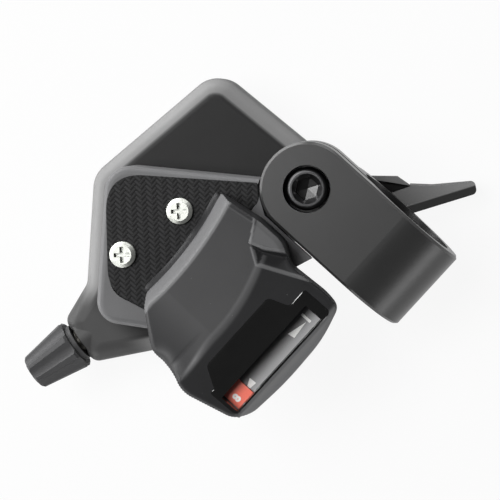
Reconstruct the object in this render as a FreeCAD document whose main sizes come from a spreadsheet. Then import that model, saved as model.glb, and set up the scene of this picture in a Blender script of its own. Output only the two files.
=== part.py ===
import FreeCAD
import Part
import Sketcher
import math
import os
import re

# Trigger shifter for a 22.2 mm handlebar, in millimetres. X runs along the bar towards the grip end,
# Y forward, Z up along the clamp bolt, and the origin is the middle of the clamp bore.

SIZES = {
    # clearances shared by all pieces
    "fit_gap": 0.1,
    "run_clear": 0.05,
    "press_clear": 0.02,
    "air_gap": 0.5,
    "cut_over": 1.0,
    # clamp band and its bolt
    "bar_radius": 11.1,
    "band_wall": 2.8,
    "band_width": 18.4,
    "lug_edge": 0.5,
    "bolt_y": 17.6,
    "lug_nose_flat": 0.4,
    "slit_floor": 4.6,
    "slit_width": 2.4,
    "counterbore_depth": 4.0,
    "head_clear": 0.45,
    "bolt_radius": 2.5,
    "bolt_clear": 0.2,
    "bolt_head_radius": 4.25,
    "bolt_head_height": 3.6,
    "bolt_length": 19.0,
    "bolt_edge": 0.4,
    "socket_radius": 2.3,
    "socket_depth": 2.4,
    "insert_radius": 3.2,
    "insert_length": 7.0,
    "insert_drop": 0.4,
    "clamp_boss_radius": 4.9,
    "clamp_boss_length": 8.0,
    # base housing and plate
    "deck_top": -2.0,
    "base_bottom": -11.3,
    "base_wall": 2.0,
    "deck_round": 4.0,
    "base_rear_y": 12.8,
    "base_right_rear_x": 6.1,
    "base_right_front_x": 4.3,
    "base_right_front_y": 48.3,
    "base_left_front_x": -29.0,
    "base_left_front_y": 53.0,
    "base_shoulder_x": -46.9,
    "base_shoulder_y": 39.0,
    "base_left_rear_x": -39.0,
    "base_front_round": 6.0,
    "base_corner_round": 3.0,
    "boss_x": -57.1,
    "boss_turn": 13.0,
    "boss_half_width": 5.3,
    "boss_tube_radius": 4.6,
    "boss_tube_length": 13.0,
    "boss_round": 2.2,
    "plate_thickness": 1.2,
    "plate_post_radius": 2.4,
    "plate_screw_radius": 1.2,
    "plate_screw_length": 6.0,
    "plate_head_radius": 2.2,
    "plate_head_height": 1.1,
    "plate_post_right_x": -0.6,
    "plate_post_right_y": 44.4,
    "plate_post_left_x": -43.8,
    "plate_post_left_y": 35.6,
    "plate_post_rear_x": -40.6,
    "plate_post_rear_y": 17.4,
    # top cover, panel and screws
    "cover_top": 10.0,
    "cover_wall": 1.8,
    "cover_edge": 1.5,
    "cover_front_x": -23.7,
    "cover_front_y": 50.9,
    "cover_left_x": -48.7,
    "cover_left_y": 31.5,
    "cover_left_rear_x": -37.0,
    "cover_rear_y": 14.2,
    "cover_front_round": 5.0,
    "cover_left_round": 4.5,
    "cover_rear_round": 3.0,
    "lug_gap": 0.6,
    "lug_nose_run": 1.0,
    "lug_facet": 16.0,
    "lip_left_x": -14.6,
    "lip_left_y": 9.4,
    "lip_right_y": 7.7,
    "bar_gap": 0.6,
    "panel_depth": 0.8,
    "panel_tip_x": -8.1,
    "panel_tip_y": 26.5,
    "panel_front_x": -24.5,
    "panel_front_y": 47.9,
    "panel_left_x": -42.2,
    "panel_left_y": 33.4,
    "panel_rear_y": 24.5,
    "panel_rear_left_x": -39.8,
    "panel_rear_right_x": -11.6,
    "panel_round": 3.8,
    "panel_left_round": 4.6,
    "screw_radius": 1.5,
    "screw_clear": 0.2,
    "screw_head_radius": 2.6,
    "screw_head_height": 1.9,
    "screw_crown": 0.7,
    "screw_length": 10.0,
    "cross_width": 0.8,
    "cross_length": 3.2,
    "cross_depth": 1.2,
    "front_post_x": -34.7,
    "front_post_y": 36.2,
    "front_post_radius": 3.0,
    # indicator housing and display
    "pod_floor": 11.8,
    "pod_step_y": 12.4,
    "pod_front_y": 30.1,
    "pod_ridge_y": 27.7,
    "pod_ridge_z": 17.8,
    "pod_crease_y": 14.8,
    "pod_crease_z": 19.8,
    "pod_sill_y": -2.6,
    "pod_sill_z": 16.4,
    "pod_rear_y": -5.6,
    "pod_rear_z": 13.2,
    "pod_front_right_x": -12.0,
    "pod_front_left_x": -36.8,
    "pod_front_skew": 2.2,
    "pod_right_x": -10.3,
    "pod_right_front_y": 20.1,
    "pod_right_rear_y": 14.0,
    "pod_notch_x": -13.7,
    "pod_notch_y": 10.1,
    "pod_tail_right_x": -11.6,
    "pod_tail_y": -5.0,
    "pod_tail_left_x": -44.3,
    "pod_waist_x": -45.7,
    "pod_waist_y": 8.1,
    "pod_left_x": -44.4,
    "pod_left_front_y": 18.5,
    "pod_left_rear_y": 12.4,
    "pod_tail_round": 3.2,
    "pod_corner_round": 1.6,
    "trim_margin": 10.0,
    "cavity_left_x": -43.0,
    "cavity_right_x": -14.8,
    "cavity_rear_y": -3.0,
    "floor_thickness": 1.0,
    "ceiling_wall": 0.8,
    "fascia_thickness": 1.2,
    "fascia_left_x": -42.2,
    "fascia_right_x": -14.4,
    "fascia_low": 0.5,
    "fascia_step": 7.4,
    "fascia_high": 11.7,
    "fascia_crown_left_x": -38.4,
    "fascia_crown_right_x": -20.4,
    "fascia_notch_left_x": -41.0,
    "fascia_notch_right_x": -18.9,
    "window_left_x": -41.4,
    "window_right_x": -16.8,
    "window_low": 0.9,
    "window_high": 5.1,
    "window_thickness": 0.9,
    "window_ledge": 0.4,
    "dial_thickness": 0.3,
    "dial_front_y": 3.4,
    "dial_edge_gap": 0.6,
    "pointer_x": -39.2,
    "pointer_width": 4.4,
    "pointer_thickness": 0.6,
    "pointer_gap": 0.15,
    "pointer_tip_y": -2.2,
    "pointer_block_depth": 4.4,
    "pointer_block_height": 1.5,
    "rail_y": 9.8,
    "rail_radius": 0.6,
    "rail_seat": 1.2,
    # axle, drum and ratchet
    "axle_x": -20.5,
    "axle_y": 33.5,
    "axle_radius": 2.6,
    "axle_flange_radius": 4.6,
    "axle_flange": 1.0,
    "axle_end": -24.0,
    "drum_radius": 10.9,
    "drum_groove_radius": 9.0,
    "cable_radius": 0.6,
    "cable_z": -6.6,
    "groove_half": 0.8,
    "groove_floor_half": 0.5,
    "wire_z": -5.2,
    "wire_groove_half": 0.4,
    "wire_groove_depth": 0.7,
    "drum_hub_radius": 5.0,
    "drum_hub_top": 2.0,
    "drum_key": 7.0,
    "hub_clear": 0.4,
    "clip_thickness": 0.8,
    "clip_radius": 4.4,
    "clip_seat_radius": 2.2,
    "clip_gap": 0.1,
    "ratchet_thickness": 1.6,
    "ratchet_step": 0.3,
    "tooth_depth": 1.7,
    "ratchet_teeth": 24,
    "tooth_lead": 0.1,
    "tooth_share": 0.9,
    "plate_gap": 0.3,
    "wire_radius": 0.35,
    "wire_gap": 0.7,
    "wire_corner_x": -16.6,
    "wire_corner_y": 11.3,
    # pawls and their pins
    "pawl_thickness": 1.4,
    "pawl_boss_radius": 2.5,
    "pawl_tip_gap": 0.3,
    "pawl_nose": 1.5,
    "pin_radius": 1.25,
    "hold_reach": 7.4,
    "hold_angle": 180.0,
    "hold_tip_angle": 217.0,
    "feed_reach": 4.4,
    "feed_angle": -95.0,
    "feed_tip_angle": -60.0,
    "feed_travel": 40.0,
    "coil_segment": 0.25,
    "coil_wire": 0.25,
    "coil_pitch": 0.62,
    "coil_turns": 2.0,
    "coil_radius": 1.9,
    # levers
    "lever_drop": 1.9,
    "lever_thickness": 3.2,
    "lever_hub_radius": 7.0,
    "lever_washer_radius": 4.6,
    "thumb_pad_bottom": -24.0,
    "thumb_hub_rear_x": -25.4,
    "thumb_hub_rear_y": 28.4,
    "thumb_hub_front_x": -15.8,
    "thumb_hub_front_y": 38.2,
    "thumb_root_rear_x": 5.2,
    "thumb_root_rear_y": 0.7,
    "thumb_tip_rear_x": 20.9,
    "thumb_tip_rear_y": -8.6,
    "thumb_tip_front_x": 22.4,
    "thumb_tip_front_y": -6.6,
    "thumb_neck_x": 15.8,
    "thumb_neck_y": -0.5,
    "thumb_root_front_x": 12.4,
    "thumb_root_front_y": 6.2,
    "thumb_pad_rear_x": 8.2,
    "thumb_pad_rear_y": -1.1,
    "thumb_pad_front_x": 12.8,
    "thumb_pad_front_y": 3.1,
    "thumb_neck_round": 7.0,
    "thumb_tip_round": 1.1,
    "thumb_slope": 45.0,
    "thumb_slope_width": 2.0,
    "thumb_slope_reach": 6.0,
    "thumb_slope_back": 16.0,
    "thumb_slope_length": 36.0,
    "thumb_hollow_depth": 1.6,
    "thumb_hollow_front_x": 8.2,
    "thumb_hollow_front_y": 10.0,
    "thumb_hollow_rear_x": 7.8,
    "thumb_hollow_rear_y": 5.4,
    "thumb_hollow_tip_x": 13.0,
    "thumb_hollow_tip_y": 2.6,
    "release_gap": 0.6,
    "release_thickness": 2.6,
    "release_pad_bottom": -25.5,
    "release_turn": -54.3,
    "release_reach": 35.0,
    "release_root_half": 5.0,
    "release_tip_half": 3.4,
    "release_pad_length": 9.0,
    "release_pad_depth": 3.0,
    "release_post_gap": 0.9,
    "release_post_angle": 181.0,
    "release_post_radius": 1.1,
    "release_travel": 8.0,
    "release_ear_half": 2.2,
    "return_wire": 0.35,
    "return_coil_radius": 5.4,
    "return_pitch": 0.8,
    "return_turns": 1.0,
    "nut_across": 8.0,
    "nut_height": 2.4,
    # barrel adjuster
    "knob_gap": 0.15,
    "knob_neck_radius": 4.0,
    "knob_neck": 1.0,
    "knob_rim_radius": 5.5,
    "knob_end_radius": 3.95,
    "knob_length": 11.85,
    "knob_edge": 0.5,
    "casing_radius": 2.6,
    "casing_depth": 6.0,
    "cable_hole_radius": 1.3,
    "stem_radius": 2.4,
    "stem_length": 9.0,
    "flute_radius": 2.2,
    "flute_depth": 0.6,
    "flute_count": 8,
    "click_spring_wire": 0.25,
    "click_spring_radius": 3.05,
    "click_spring_pitch": 1.1,
    "click_spring_turns": 3.0,
    "click_bore_radius": 3.7,
    "click_bore_depth": 3.8,
}

doc = FreeCAD.newDocument("trigger_shifter")
sheet = doc.addObject("Spreadsheet::Sheet", "sizes")
for row, (name, amount) in enumerate(SIZES.items(), 1):
    sheet.set(f"A{row}", name)
    sheet.set(f"B{row}", str(amount))
    sheet.setAlias(f"B{row}", name)
doc.recompute()

WORD = re.compile(r"[a-z][a-z0-9_]*")
parts = []


def cells(text):
    """Write each size's name in an expression as its cell of the sheet."""
    return WORD.sub(lambda word: "sizes." + word[0] if word[0] in SIZES else word[0], text)


def bind(thing, field, text):
    """Tie one field of an object to an expression on the sizes."""
    thing.setExpression(field, cells(text))


def size(name):
    """The number in a size's cell."""
    return float(sheet.get(name))


def finish(thing, label):
    """Name a finished sub-part and list it for writing."""
    thing.Label = label
    parts.append(thing)
    return thing


def new_body(name):
    return doc.addObject("PartDesign::Body", name)


def place(thing, x="0", y="0", z="0", turn="rotation(vector(0; 0; 1); 0)"):
    """Tie an object's place, and its turn, to the sizes."""
    bind(thing, "Placement", f"placement(vector({x}; {y}; {z}); {turn})")


def origin_plane(body, role):
    return next(plane for plane in body.Origin.OriginFeatures if plane.Role == role)


def sketch(body, loops, plane="XY_Plane", level="0", offset=None):
    """A sketch of closed outlines on one of the body's planes. Every corner is held by two sizes."""
    drawing = body.newObject("Sketcher::SketchObject", body.Name + "_sketch")
    drawing.AttachmentSupport = [(origin_plane(body, plane), "")]
    drawing.MapMode = "FlatFace"
    if offset:
        bind(drawing, "AttachmentOffset", offset)
    else:
        bind(drawing, "AttachmentOffset.Base.z", level)
    for loop, corners in enumerate(loops):
        first = drawing.GeometryCount
        count = len(corners)
        spots = []
        for index in range(count):
            angle = 2 * math.pi * index / count
            spots.append(FreeCAD.Vector(math.cos(angle), math.sin(angle), 0) * 10 * (loop + 1))
        for index in range(count):
            drawing.addGeometry(Part.LineSegment(spots[index], spots[(index + 1) % count]), False)
        for index, corner in enumerate(corners):
            following = first + (index + 1) % count
            drawing.addConstraint(Sketcher.Constraint("Coincident", first + index, 2, following, 1))
            for kind, start, text in zip(("DistanceX", "DistanceY"), spots[index], corner):
                held = drawing.addConstraint(Sketcher.Constraint(kind, -1, 1, first + index, 1, start))
                bind(drawing, f"Constraints[{held}]", text)
    return drawing


def extrude(body, kind, drawing, length, reverse=False, middle=False):
    """Pad or pocket a sketch by a length tied to the sizes."""
    feature = body.newObject("PartDesign::" + kind, body.Name + "_" + kind.lower())
    feature.Profile = drawing
    bind(feature, "Length", length)
    feature.Reversed = reverse
    feature.Midplane = middle
    drawing.Visibility = False
    doc.recompute()
    return feature


def turned(body, profile):
    """Revolve a half-section of (radius, height) corners about the body's Z axis."""
    drawing = sketch(body, [profile], plane="XZ_Plane")
    feature = body.newObject("PartDesign::Revolution", body.Name + "_turned")
    feature.Profile = drawing
    feature.ReferenceAxis = (drawing, ["V_Axis"])
    feature.Angle = 360
    doc.recompute()
    return feature


ALONG_X = "rotation(vector(0; 1; 0); 90)"
UPRIGHT = "rotation(vector(0; 0; 1); 0)"


def solid(body, kind, sizes, x="0", y="0", z="0", turn=UPRIGHT):
    """Add or cut a primitive, such as AdditiveCylinder, placed by the sizes."""
    feature = body.newObject("PartDesign::" + kind, body.Name + "_" + kind.lower())
    for field, text in sizes.items():
        bind(feature, field, text)
    place(feature, x, y, z, turn)
    doc.recompute()
    return feature


def cylinder(body, cut, radius, height, x="0", y="0", z="0", turn=UPRIGHT):
    kind = "SubtractiveCylinder" if cut else "AdditiveCylinder"
    return solid(body, kind, {"Radius": radius, "Height": height}, x, y, z, turn)


def box(body, cut, length, width, height, x="0", y="0", z="0", turn=UPRIGHT):
    kind = "SubtractiveBox" if cut else "AdditiveBox"
    return solid(body, kind, {"Length": length, "Width": width, "Height": height}, x, y, z, turn)


def edges(body, wanted):
    """Names of the finished edges that a test accepts."""
    return [f"Edge{n}" for n, edge in enumerate(body.Tip.Shape.Edges, 1) if wanted(edge)]


def dress(body, kind, names, field, amount):
    """Fillet or chamfer the named edges of the body as it stands."""
    base = body.Tip
    feature = body.newObject("PartDesign::" + kind, body.Name + "_" + kind.lower())
    feature.Base = (base, names)
    bind(feature, field, amount)
    doc.recompute()
    return feature


def round_corners(body, drawing, rounds):
    """Fillet the edges that a sketch's corners leave along the pad, each corner with its own radius."""
    along = drawing.Placement.Rotation.multVec(FreeCAD.Vector(0, 0, 1))
    for amount in dict.fromkeys(rounds.values()):
        corners = [drawing.Placement.multVec(drawing.Geometry[index].StartPoint)
                   for index, radius in rounds.items() if radius == amount]

        def at_corner(edge):
            if edge.Curve.TypeId != "Part::GeomLine":
                return False
            start = edge.Vertexes[0].Point
            run = edge.Vertexes[-1].Point - start
            if run.cross(along).Length > 1e-5 * run.Length:
                return False
            return any((start - corner).cross(along).Length < 1e-4 for corner in corners)

        dress(body, "Fillet", edges(body, at_corner), "Radius", amount)


def flat_at(level):
    """A test for edges that lie wholly at one height."""
    def test(edge):
        middle = edge.valueAt((edge.FirstParameter + edge.LastParameter) / 2)
        heights = [middle.z] + [vertex.Z for vertex in edge.Vertexes]
        return all(abs(height - level) < 1e-4 for height in heights)
    return test


def hollow(body, level, wall):
    """Shell the body from its flat face at one height."""
    base = body.Tip
    open_faces = [f"Face{n}" for n, face in enumerate(base.Shape.Faces, 1)
                  if abs(face.BoundBox.ZMax - level) < 1e-4 and abs(face.BoundBox.ZMin - level) < 1e-4]
    feature = body.newObject("PartDesign::Thickness", body.Name + "_shell")
    feature.Base = (base, open_faces)
    bind(feature, "Value", wall)
    feature.Reversed = True
    feature.Mode = 0
    feature.Join = 0
    doc.recompute()
    return feature


def inset(outline, wall):
    """An outline's corners moved inwards by a wall, to where its shifted sides meet."""
    moved = []
    for index, (x, y) in enumerate(outline):
        last_x, last_y = outline[index - 1]
        next_x, next_y = outline[(index + 1) % len(outline)]
        normals = []
        for start, end in (((last_x, last_y), (x, y)), ((x, y), (next_x, next_y))):
            run_x = f"(({end[0]}) - ({start[0]}))"
            run_y = f"(({end[1]}) - ({start[1]}))"
            run = f"hypot({run_x}; {run_y})"
            normals.append((f"(-1 * {run_y} / {run})", f"({run_x} / {run})"))
        (first_x, first_y), (second_x, second_y) = normals
        share = f"({wall} / (1 + {first_x} * {second_x} + {first_y} * {second_y}))"
        moved.append((f"{x} + ({first_x} + {second_x}) * {share}",
                      f"{y} + ({first_y} + {second_y}) * {share}"))
    return moved


def coil(label, wire, radius, pitch, turns, x, y, z, turn=UPRIGHT):
    """A wire coil: a circle swept along a helix."""
    path = doc.addObject("Part::Helix", label + "_path")
    bind(path, "Radius", radius)
    bind(path, "Pitch", pitch)
    bind(path, "Height", f"{pitch} * {turns}")
    bind(path, "SegmentLength", "coil_segment")
    section = doc.addObject("Part::Circle", label + "_section")
    bind(section, "Radius", wire)
    place(section, radius, turn="rotation(vector(1; 0; 0); 90)")
    sweep = doc.addObject("Part::Sweep", label)
    sweep.Sections = [section]
    sweep.Spine = (path, [])
    sweep.Solid = True
    sweep.Frenet = True
    place(sweep, x, y, z, turn)
    return finish(sweep, label)


AXLE = ("axle_x", "axle_y")
LUG_TOP = "bar_radius + band_wall"
RATCHET_TIP = "(drum_radius - ratchet_step)"
RATCHET_ROOT = f"({RATCHET_TIP} - tooth_depth)"
HOLD_ORBIT = f"({RATCHET_TIP} + hold_reach)"
FEED_ORBIT = f"({RATCHET_TIP} + feed_reach)"
POST_ORBIT = f"({RATCHET_TIP} + release_post_gap + release_post_radius)"


def around_axle(orbit, angle):
    """A place at a radius and an angle about the main axle."""
    return f"axle_x + {orbit} * cos({angle})", f"axle_y + {orbit} * sin({angle})"


# Clamp band: an aluminium ring round the bar with a slit lug in front, drawn closed by one bolt.

band = new_body("band")
cylinder(band, False, LUG_TOP, "band_width", x="-band_width / 2", turn=ALONG_X)
lug = sketch(band, [[("0", "deck_top"), ("bolt_y + band_width / 2", "deck_top"),
                     ("bolt_y + band_width / 2", LUG_TOP), ("0", LUG_TOP)]], plane="YZ_Plane")
extrude(band, "Pad", lug, "band_width", middle=True)
nose = size("bolt_y") + size("band_width") / 2


def nose_edge(edge):
    ends = [vertex.Point for vertex in edge.Vertexes]
    upright = abs(ends[0].z - ends[-1].z) > 1
    return upright and all(abs(end.y - nose) < 1e-4 for end in ends)


dress(band, "Fillet", edges(band, nose_edge), "Radius", "band_width / 2 - lug_nose_flat / 2")
side = size("band_width") / 2


def band_rim(edge):
    """Edges of the lug and ring outline, on both flat sides and round the nose, but not under the lug."""
    middle = edge.valueAt((edge.FirstParameter + edge.LastParameter) / 2)
    ends = [vertex.Point for vertex in edge.Vertexes] + [middle]
    on_side = all(abs(abs(end.x) - side) < 1e-4 for end in ends)
    on_top = all(abs(end.z - size("bar_radius") - size("band_wall")) < 1e-4 for end in ends)
    along_bar = all(abs(end.y) < 1e-4 for end in ends)
    return (on_side or on_top) and not along_bar and middle.z > size("deck_top") + 1e-3 or (
        on_side and middle.y < -1)


dress(band, "Chamfer", edges(band, band_rim), "Size", "lug_edge")
cylinder(band, True, "bar_radius", "band_width + 2 * cut_over", x="-band_width / 2 - cut_over", turn=ALONG_X)
box(band, True, "band_width + 2 * cut_over", "bolt_y + band_width", "slit_width",
    x="-band_width / 2 - cut_over", z="slit_floor")
cylinder(band, True, "bolt_radius + bolt_clear", f"{LUG_TOP} - deck_top + 2 * cut_over", y="bolt_y",
         z="deck_top - cut_over")
cylinder(band, True, "bolt_head_radius + head_clear", "counterbore_depth + cut_over", y="bolt_y",
         z=f"{LUG_TOP} - counterbore_depth")
finish(band, "clamp_band")

bolt = new_body("bolt")
turned(bolt, [("0", "-bolt_length"), ("bolt_radius - bolt_edge", "-bolt_length"),
              ("bolt_radius", "bolt_edge - bolt_length"), ("bolt_radius", "0"), ("bolt_head_radius", "0"),
              ("bolt_head_radius", "bolt_head_height - bolt_edge"),
              ("bolt_head_radius - bolt_edge", "bolt_head_height"), ("0", "bolt_head_height")])
socket_sizes = {"Circumradius": "socket_radius", "Height": "socket_depth + cut_over"}
socket = solid(bolt, "SubtractivePrism", socket_sizes, z="bolt_head_height - socket_depth")
socket.Polygon = 6
place(bolt, y="bolt_y", z=f"{LUG_TOP} - counterbore_depth")
finish(bolt, "clamp_bolt")

insert = new_body("insert")
turned(insert, [("bolt_radius + run_clear", "0"), ("insert_radius", "0"), ("insert_radius", "insert_length"),
                ("bolt_radius + run_clear", "insert_length")])
place(insert, y="bolt_y", z="deck_top - insert_drop - insert_length")
finish(insert, "clamp_insert")

# Base housing: a moulded shell, open below, with the clamp's seat, the cable boss and two screw posts.

BOSS_Y = ("axle_y + (axle_x - boss_x) * tan(boss_turn)"
          " - (drum_groove_radius + cable_radius) / cos(boss_turn)")
BASE_OUTLINE = [
    ("base_right_rear_x", "base_rear_y"),
    ("base_right_front_x", "base_right_front_y"),
    ("base_left_front_x", "base_left_front_y"),
    ("base_shoulder_x", "base_shoulder_y"),
    ("boss_x + boss_half_width * sin(boss_turn)", f"{BOSS_Y} + boss_half_width * cos(boss_turn)"),
    ("boss_x - boss_half_width * sin(boss_turn)", f"{BOSS_Y} - boss_half_width * cos(boss_turn)"),
    ("base_left_rear_x", "base_rear_y"),
]
BASE_ROUNDS = {0: "base_corner_round", 1: "base_front_round", 2: "base_front_round", 3: "base_corner_round",
               4: "boss_round", 5: "boss_round", 6: "base_corner_round"}
BOSS_TURN = "rotation(vector(0; 0; 1); 180 - boss_turn) * rotation(vector(0; 1; 0); 90)"
PLATE_POSTS = [("plate_post_right_x", "plate_post_right_y"), ("plate_post_left_x", "plate_post_left_y"),
               ("plate_post_rear_x", "plate_post_rear_y")]


def along_boss(distance):
    """A place on the cable boss axis, outwards from its end face."""
    return {"x": f"boss_x - ({distance}) * cos(boss_turn)", "y": f"{BOSS_Y} + ({distance}) * sin(boss_turn)",
            "z": "cable_z", "turn": BOSS_TURN}


base = new_body("base")
outline = sketch(base, [BASE_OUTLINE], level="base_bottom")
extrude(base, "Pad", outline, "deck_top - base_bottom")
round_corners(base, outline, BASE_ROUNDS)
hollow(base, size("base_bottom"), "base_wall")
dress(base, "Fillet", edges(base, flat_at(size("deck_top"))), "Radius", "deck_round")
cylinder(base, False, "boss_tube_radius", "boss_tube_length - base_wall / 2",
         **along_boss("-boss_tube_length"))
cylinder(base, False, "clamp_boss_radius", "clamp_boss_length", y="bolt_y", z="deck_top - clamp_boss_length")
cylinder(base, False, "front_post_radius", "cover_top - cover_wall - deck_top + base_wall / 2",
         x="front_post_x", y="front_post_y", z="deck_top - base_wall / 2")
for post_x, post_y in PLATE_POSTS:
    cylinder(base, False, "plate_post_radius", "deck_top - base_wall / 2 - base_bottom", post_x, post_y,
             "base_bottom")
    cylinder(base, True, "plate_screw_radius", "plate_screw_length", post_x, post_y, "base_bottom - cut_over")
cylinder(base, True, "insert_radius + press_clear", "insert_length + insert_drop + cut_over", y="bolt_y",
         z="deck_top - insert_drop - insert_length")
cylinder(base, True, "bolt_radius + bolt_clear", "bolt_length", y="bolt_y", z="deck_top - bolt_length")
cylinder(base, True, "screw_radius + run_clear", "screw_length", "front_post_x", "front_post_y",
         "cover_top - screw_length")
cylinder(base, True, "stem_radius + run_clear", "boss_tube_length + 2 * cut_over",
         **along_boss("-boss_tube_length - cut_over"))
cylinder(base, True, "click_bore_radius", "click_bore_depth + cut_over", **along_boss("-click_bore_depth"))
cylinder(base, True, "drum_hub_radius + hub_clear", "base_wall + 2 * cut_over", *AXLE,
         "deck_top - base_wall - cut_over")

# The oblique run of the indicator wire, from the drum's rim up to the display.

POINTER_Z = "pod_floor + floor_thickness + dial_thickness + pointer_gap"
RAIL_Z = f"{POINTER_Z} + pointer_block_height / 2"
WIRE_ORBIT = "(drum_radius - wire_groove_depth + wire_radius + run_clear)"
WIRE_LEAVE = (f"(atan2(wire_corner_y - axle_y; wire_corner_x - axle_x)"
              f" + acos({WIRE_ORBIT} / hypot(wire_corner_x - axle_x; wire_corner_y - axle_y)))")
WIRE_START = (*around_axle(WIRE_ORBIT, WIRE_LEAVE), "wire_z")
WIRE_CORNER = ("wire_corner_x", "wire_corner_y", RAIL_Z)
WIRE_RUN = [f"({end} - ({start}))" for start, end in zip(WIRE_START, WIRE_CORNER)]
WIRE_LENGTH = "sqrt(" + " + ".join(f"{part} * {part}" for part in WIRE_RUN) + ")"
WIRE_TURN = (f"rotation(vector(-1 * {WIRE_RUN[1]}; {WIRE_RUN[0]}; 0);"
             f" acos({WIRE_RUN[2]} / {WIRE_LENGTH}))")


def wire_passage(body):
    """Cut the straight channel that the indicator wire rises through."""
    cylinder(body, True, "wire_radius + wire_gap", WIRE_LENGTH, *WIRE_START, WIRE_TURN)


wire_passage(base)
cylinder(base, True, f"{LUG_TOP} + fit_gap", "band_width + 2 * fit_gap", x="-band_width / 2 - fit_gap",
         turn=ALONG_X)
finish(base, "base_housing")

# Base plate: stamped steel under the housing, which carries the axle and the pawl pin.

PLATE_BOTTOM = "base_bottom - plate_thickness"
HOLD_PIN = around_axle(HOLD_ORBIT, "hold_angle")
FEED_PIN = around_axle(FEED_ORBIT, "feed_angle")


def arc_slot(body, orbit, half, start, sweep):
    """Cut a slot through the plate in which a pin swings about the axle, with room past each end."""
    spare = f"asin({half} / {orbit}) / (1 deg)"
    low = f"{PLATE_BOTTOM} - cut_over"
    high = "base_bottom + cut_over"
    inner = f"{orbit} - ({half})"
    outer = f"{orbit} + {half}"
    turn = f"rotation(vector(0; 1; 0); {start} - {spare})"
    drawing = sketch(body, [[(inner, low), (outer, low), (outer, high), (inner, high)]], plane="XZ_Plane",
                     offset=f"placement(vector(axle_x; 0; -axle_y); {turn})")
    feature = body.newObject("PartDesign::Groove", body.Name + "_slot")
    feature.Profile = drawing
    feature.ReferenceAxis = (drawing, ["V_Axis"])
    bind(feature, "Angle", f"{sweep} + 2 * {spare}")
    doc.recompute()


plate = new_body("plate")
plate_outline = sketch(plate, [BASE_OUTLINE], level=PLATE_BOTTOM)
extrude(plate, "Pad", plate_outline, "plate_thickness")
round_corners(plate, plate_outline, BASE_ROUNDS)
cylinder(plate, True, "axle_radius + press_clear", "plate_thickness + 2 * cut_over", *AXLE,
         f"{PLATE_BOTTOM} - cut_over")
cylinder(plate, True, "pin_radius + press_clear", "plate_thickness + 2 * cut_over", *HOLD_PIN,
         f"{PLATE_BOTTOM} - cut_over")
cylinder(plate, True, "bolt_radius + bolt_clear", "plate_thickness + 2 * cut_over", y="bolt_y",
         z=f"{PLATE_BOTTOM} - cut_over")
for post_x, post_y in PLATE_POSTS:
    cylinder(plate, True, "plate_screw_radius + bolt_clear", "plate_thickness + 2 * cut_over", post_x, post_y,
             f"{PLATE_BOTTOM} - cut_over")
arc_slot(plate, FEED_ORBIT, "(pin_radius + air_gap)", "feed_angle", "feed_travel")
arc_slot(plate, POST_ORBIT, "(release_post_radius + air_gap)", "release_post_angle",
         "release_travel")
finish(plate, "base_plate")

plate_screws = []
for number, (post_x, post_y) in enumerate(PLATE_POSTS, 1):
    screw = new_body(f"plate_screw_{number}")
    turned(screw, [("0", "plate_screw_length - cut_over"), ("plate_screw_radius - run_clear",
                   "plate_screw_length - cut_over"), ("plate_screw_radius - run_clear", "0"),
                   ("plate_head_radius", "0"), ("plate_head_radius", "-plate_head_height"),
                   ("0", "-plate_head_height")])
    place(screw, post_x, post_y, PLATE_BOTTOM)
    plate_screws.append(screw)
plate_screw_group = doc.addObject("Part::Compound", "plate_screw_group")
plate_screw_group.Links = plate_screws
finish(plate_screw_group, "plate_screws")

# Top cover: a moulded cap on the deck, with a lip under the display and a recess for the panel.

LUG_REACH = "(band_width / 2 + lug_gap)"


def lug_corner(facets):
    """A corner of the flats that go round the lug, at a number of half steps from its side."""
    angle = f"(180 - {facets} * lug_facet)"
    reach = f"{LUG_REACH} / cos(lug_facet)"
    return f"{reach} * cos{angle}", f"bolt_y + {reach} * sin{angle}"


COVER_TIP = (f"{LUG_REACH} * cos(180 - 4 * lug_facet) - lug_nose_run * sin(180 - 4 * lug_facet)",
             f"bolt_y + {LUG_REACH} * sin(180 - 4 * lug_facet) + lug_nose_run * cos(180 - 4 * lug_facet)")
COVER_OUTLINE = [
    COVER_TIP,
    ("cover_front_x", "cover_front_y"),
    ("cover_left_x", "cover_left_y"),
    ("cover_left_rear_x", "cover_rear_y"),
    (f"-1 * {LUG_REACH}", "cover_rear_y"),
    lug_corner(1),
    lug_corner(3),
]
PANEL_OUTLINE = [
    ("panel_tip_x", "panel_tip_y"),
    ("panel_front_x", "panel_front_y"),
    ("panel_left_x", "panel_left_y"),
    ("panel_rear_left_x", "panel_rear_y"),
    ("panel_rear_right_x", "panel_rear_y"),
]
PANEL_ROUNDS = {1: "panel_round", 2: "panel_left_round"}
SCREW_SPOTS = [AXLE, ("front_post_x", "front_post_y")]

cover = new_body("cover")
cover_outline = sketch(cover, [COVER_OUTLINE], level="deck_top")
extrude(cover, "Pad", cover_outline, "cover_top - deck_top")
round_corners(cover, cover_outline, {1: "cover_front_round", 2: "cover_left_round", 3: "cover_rear_round"})
at_top = flat_at(size("cover_top"))
outer_shape = Part.Compound([edge for edge in cover.Tip.Shape.Edges if at_top(edge)])


def cover_rim(edge):
    """The top edges of the cover's front and left walls, which are the ones that show."""
    middle = edge.valueAt((edge.FirstParameter + edge.LastParameter) / 2)
    faces = outer_shape.distToShape(Part.Vertex(middle))[0] < 1e-4
    from_bolt = math.hypot(middle.x, middle.y - size("bolt_y"))
    beside_lug = from_bolt < size("band_width") / 2 + 2 * size("lug_gap")
    behind = middle.y < size("cover_rear_y") + size("cover_rear_round")
    return at_top(edge) and faces and not beside_lug and not behind


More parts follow.
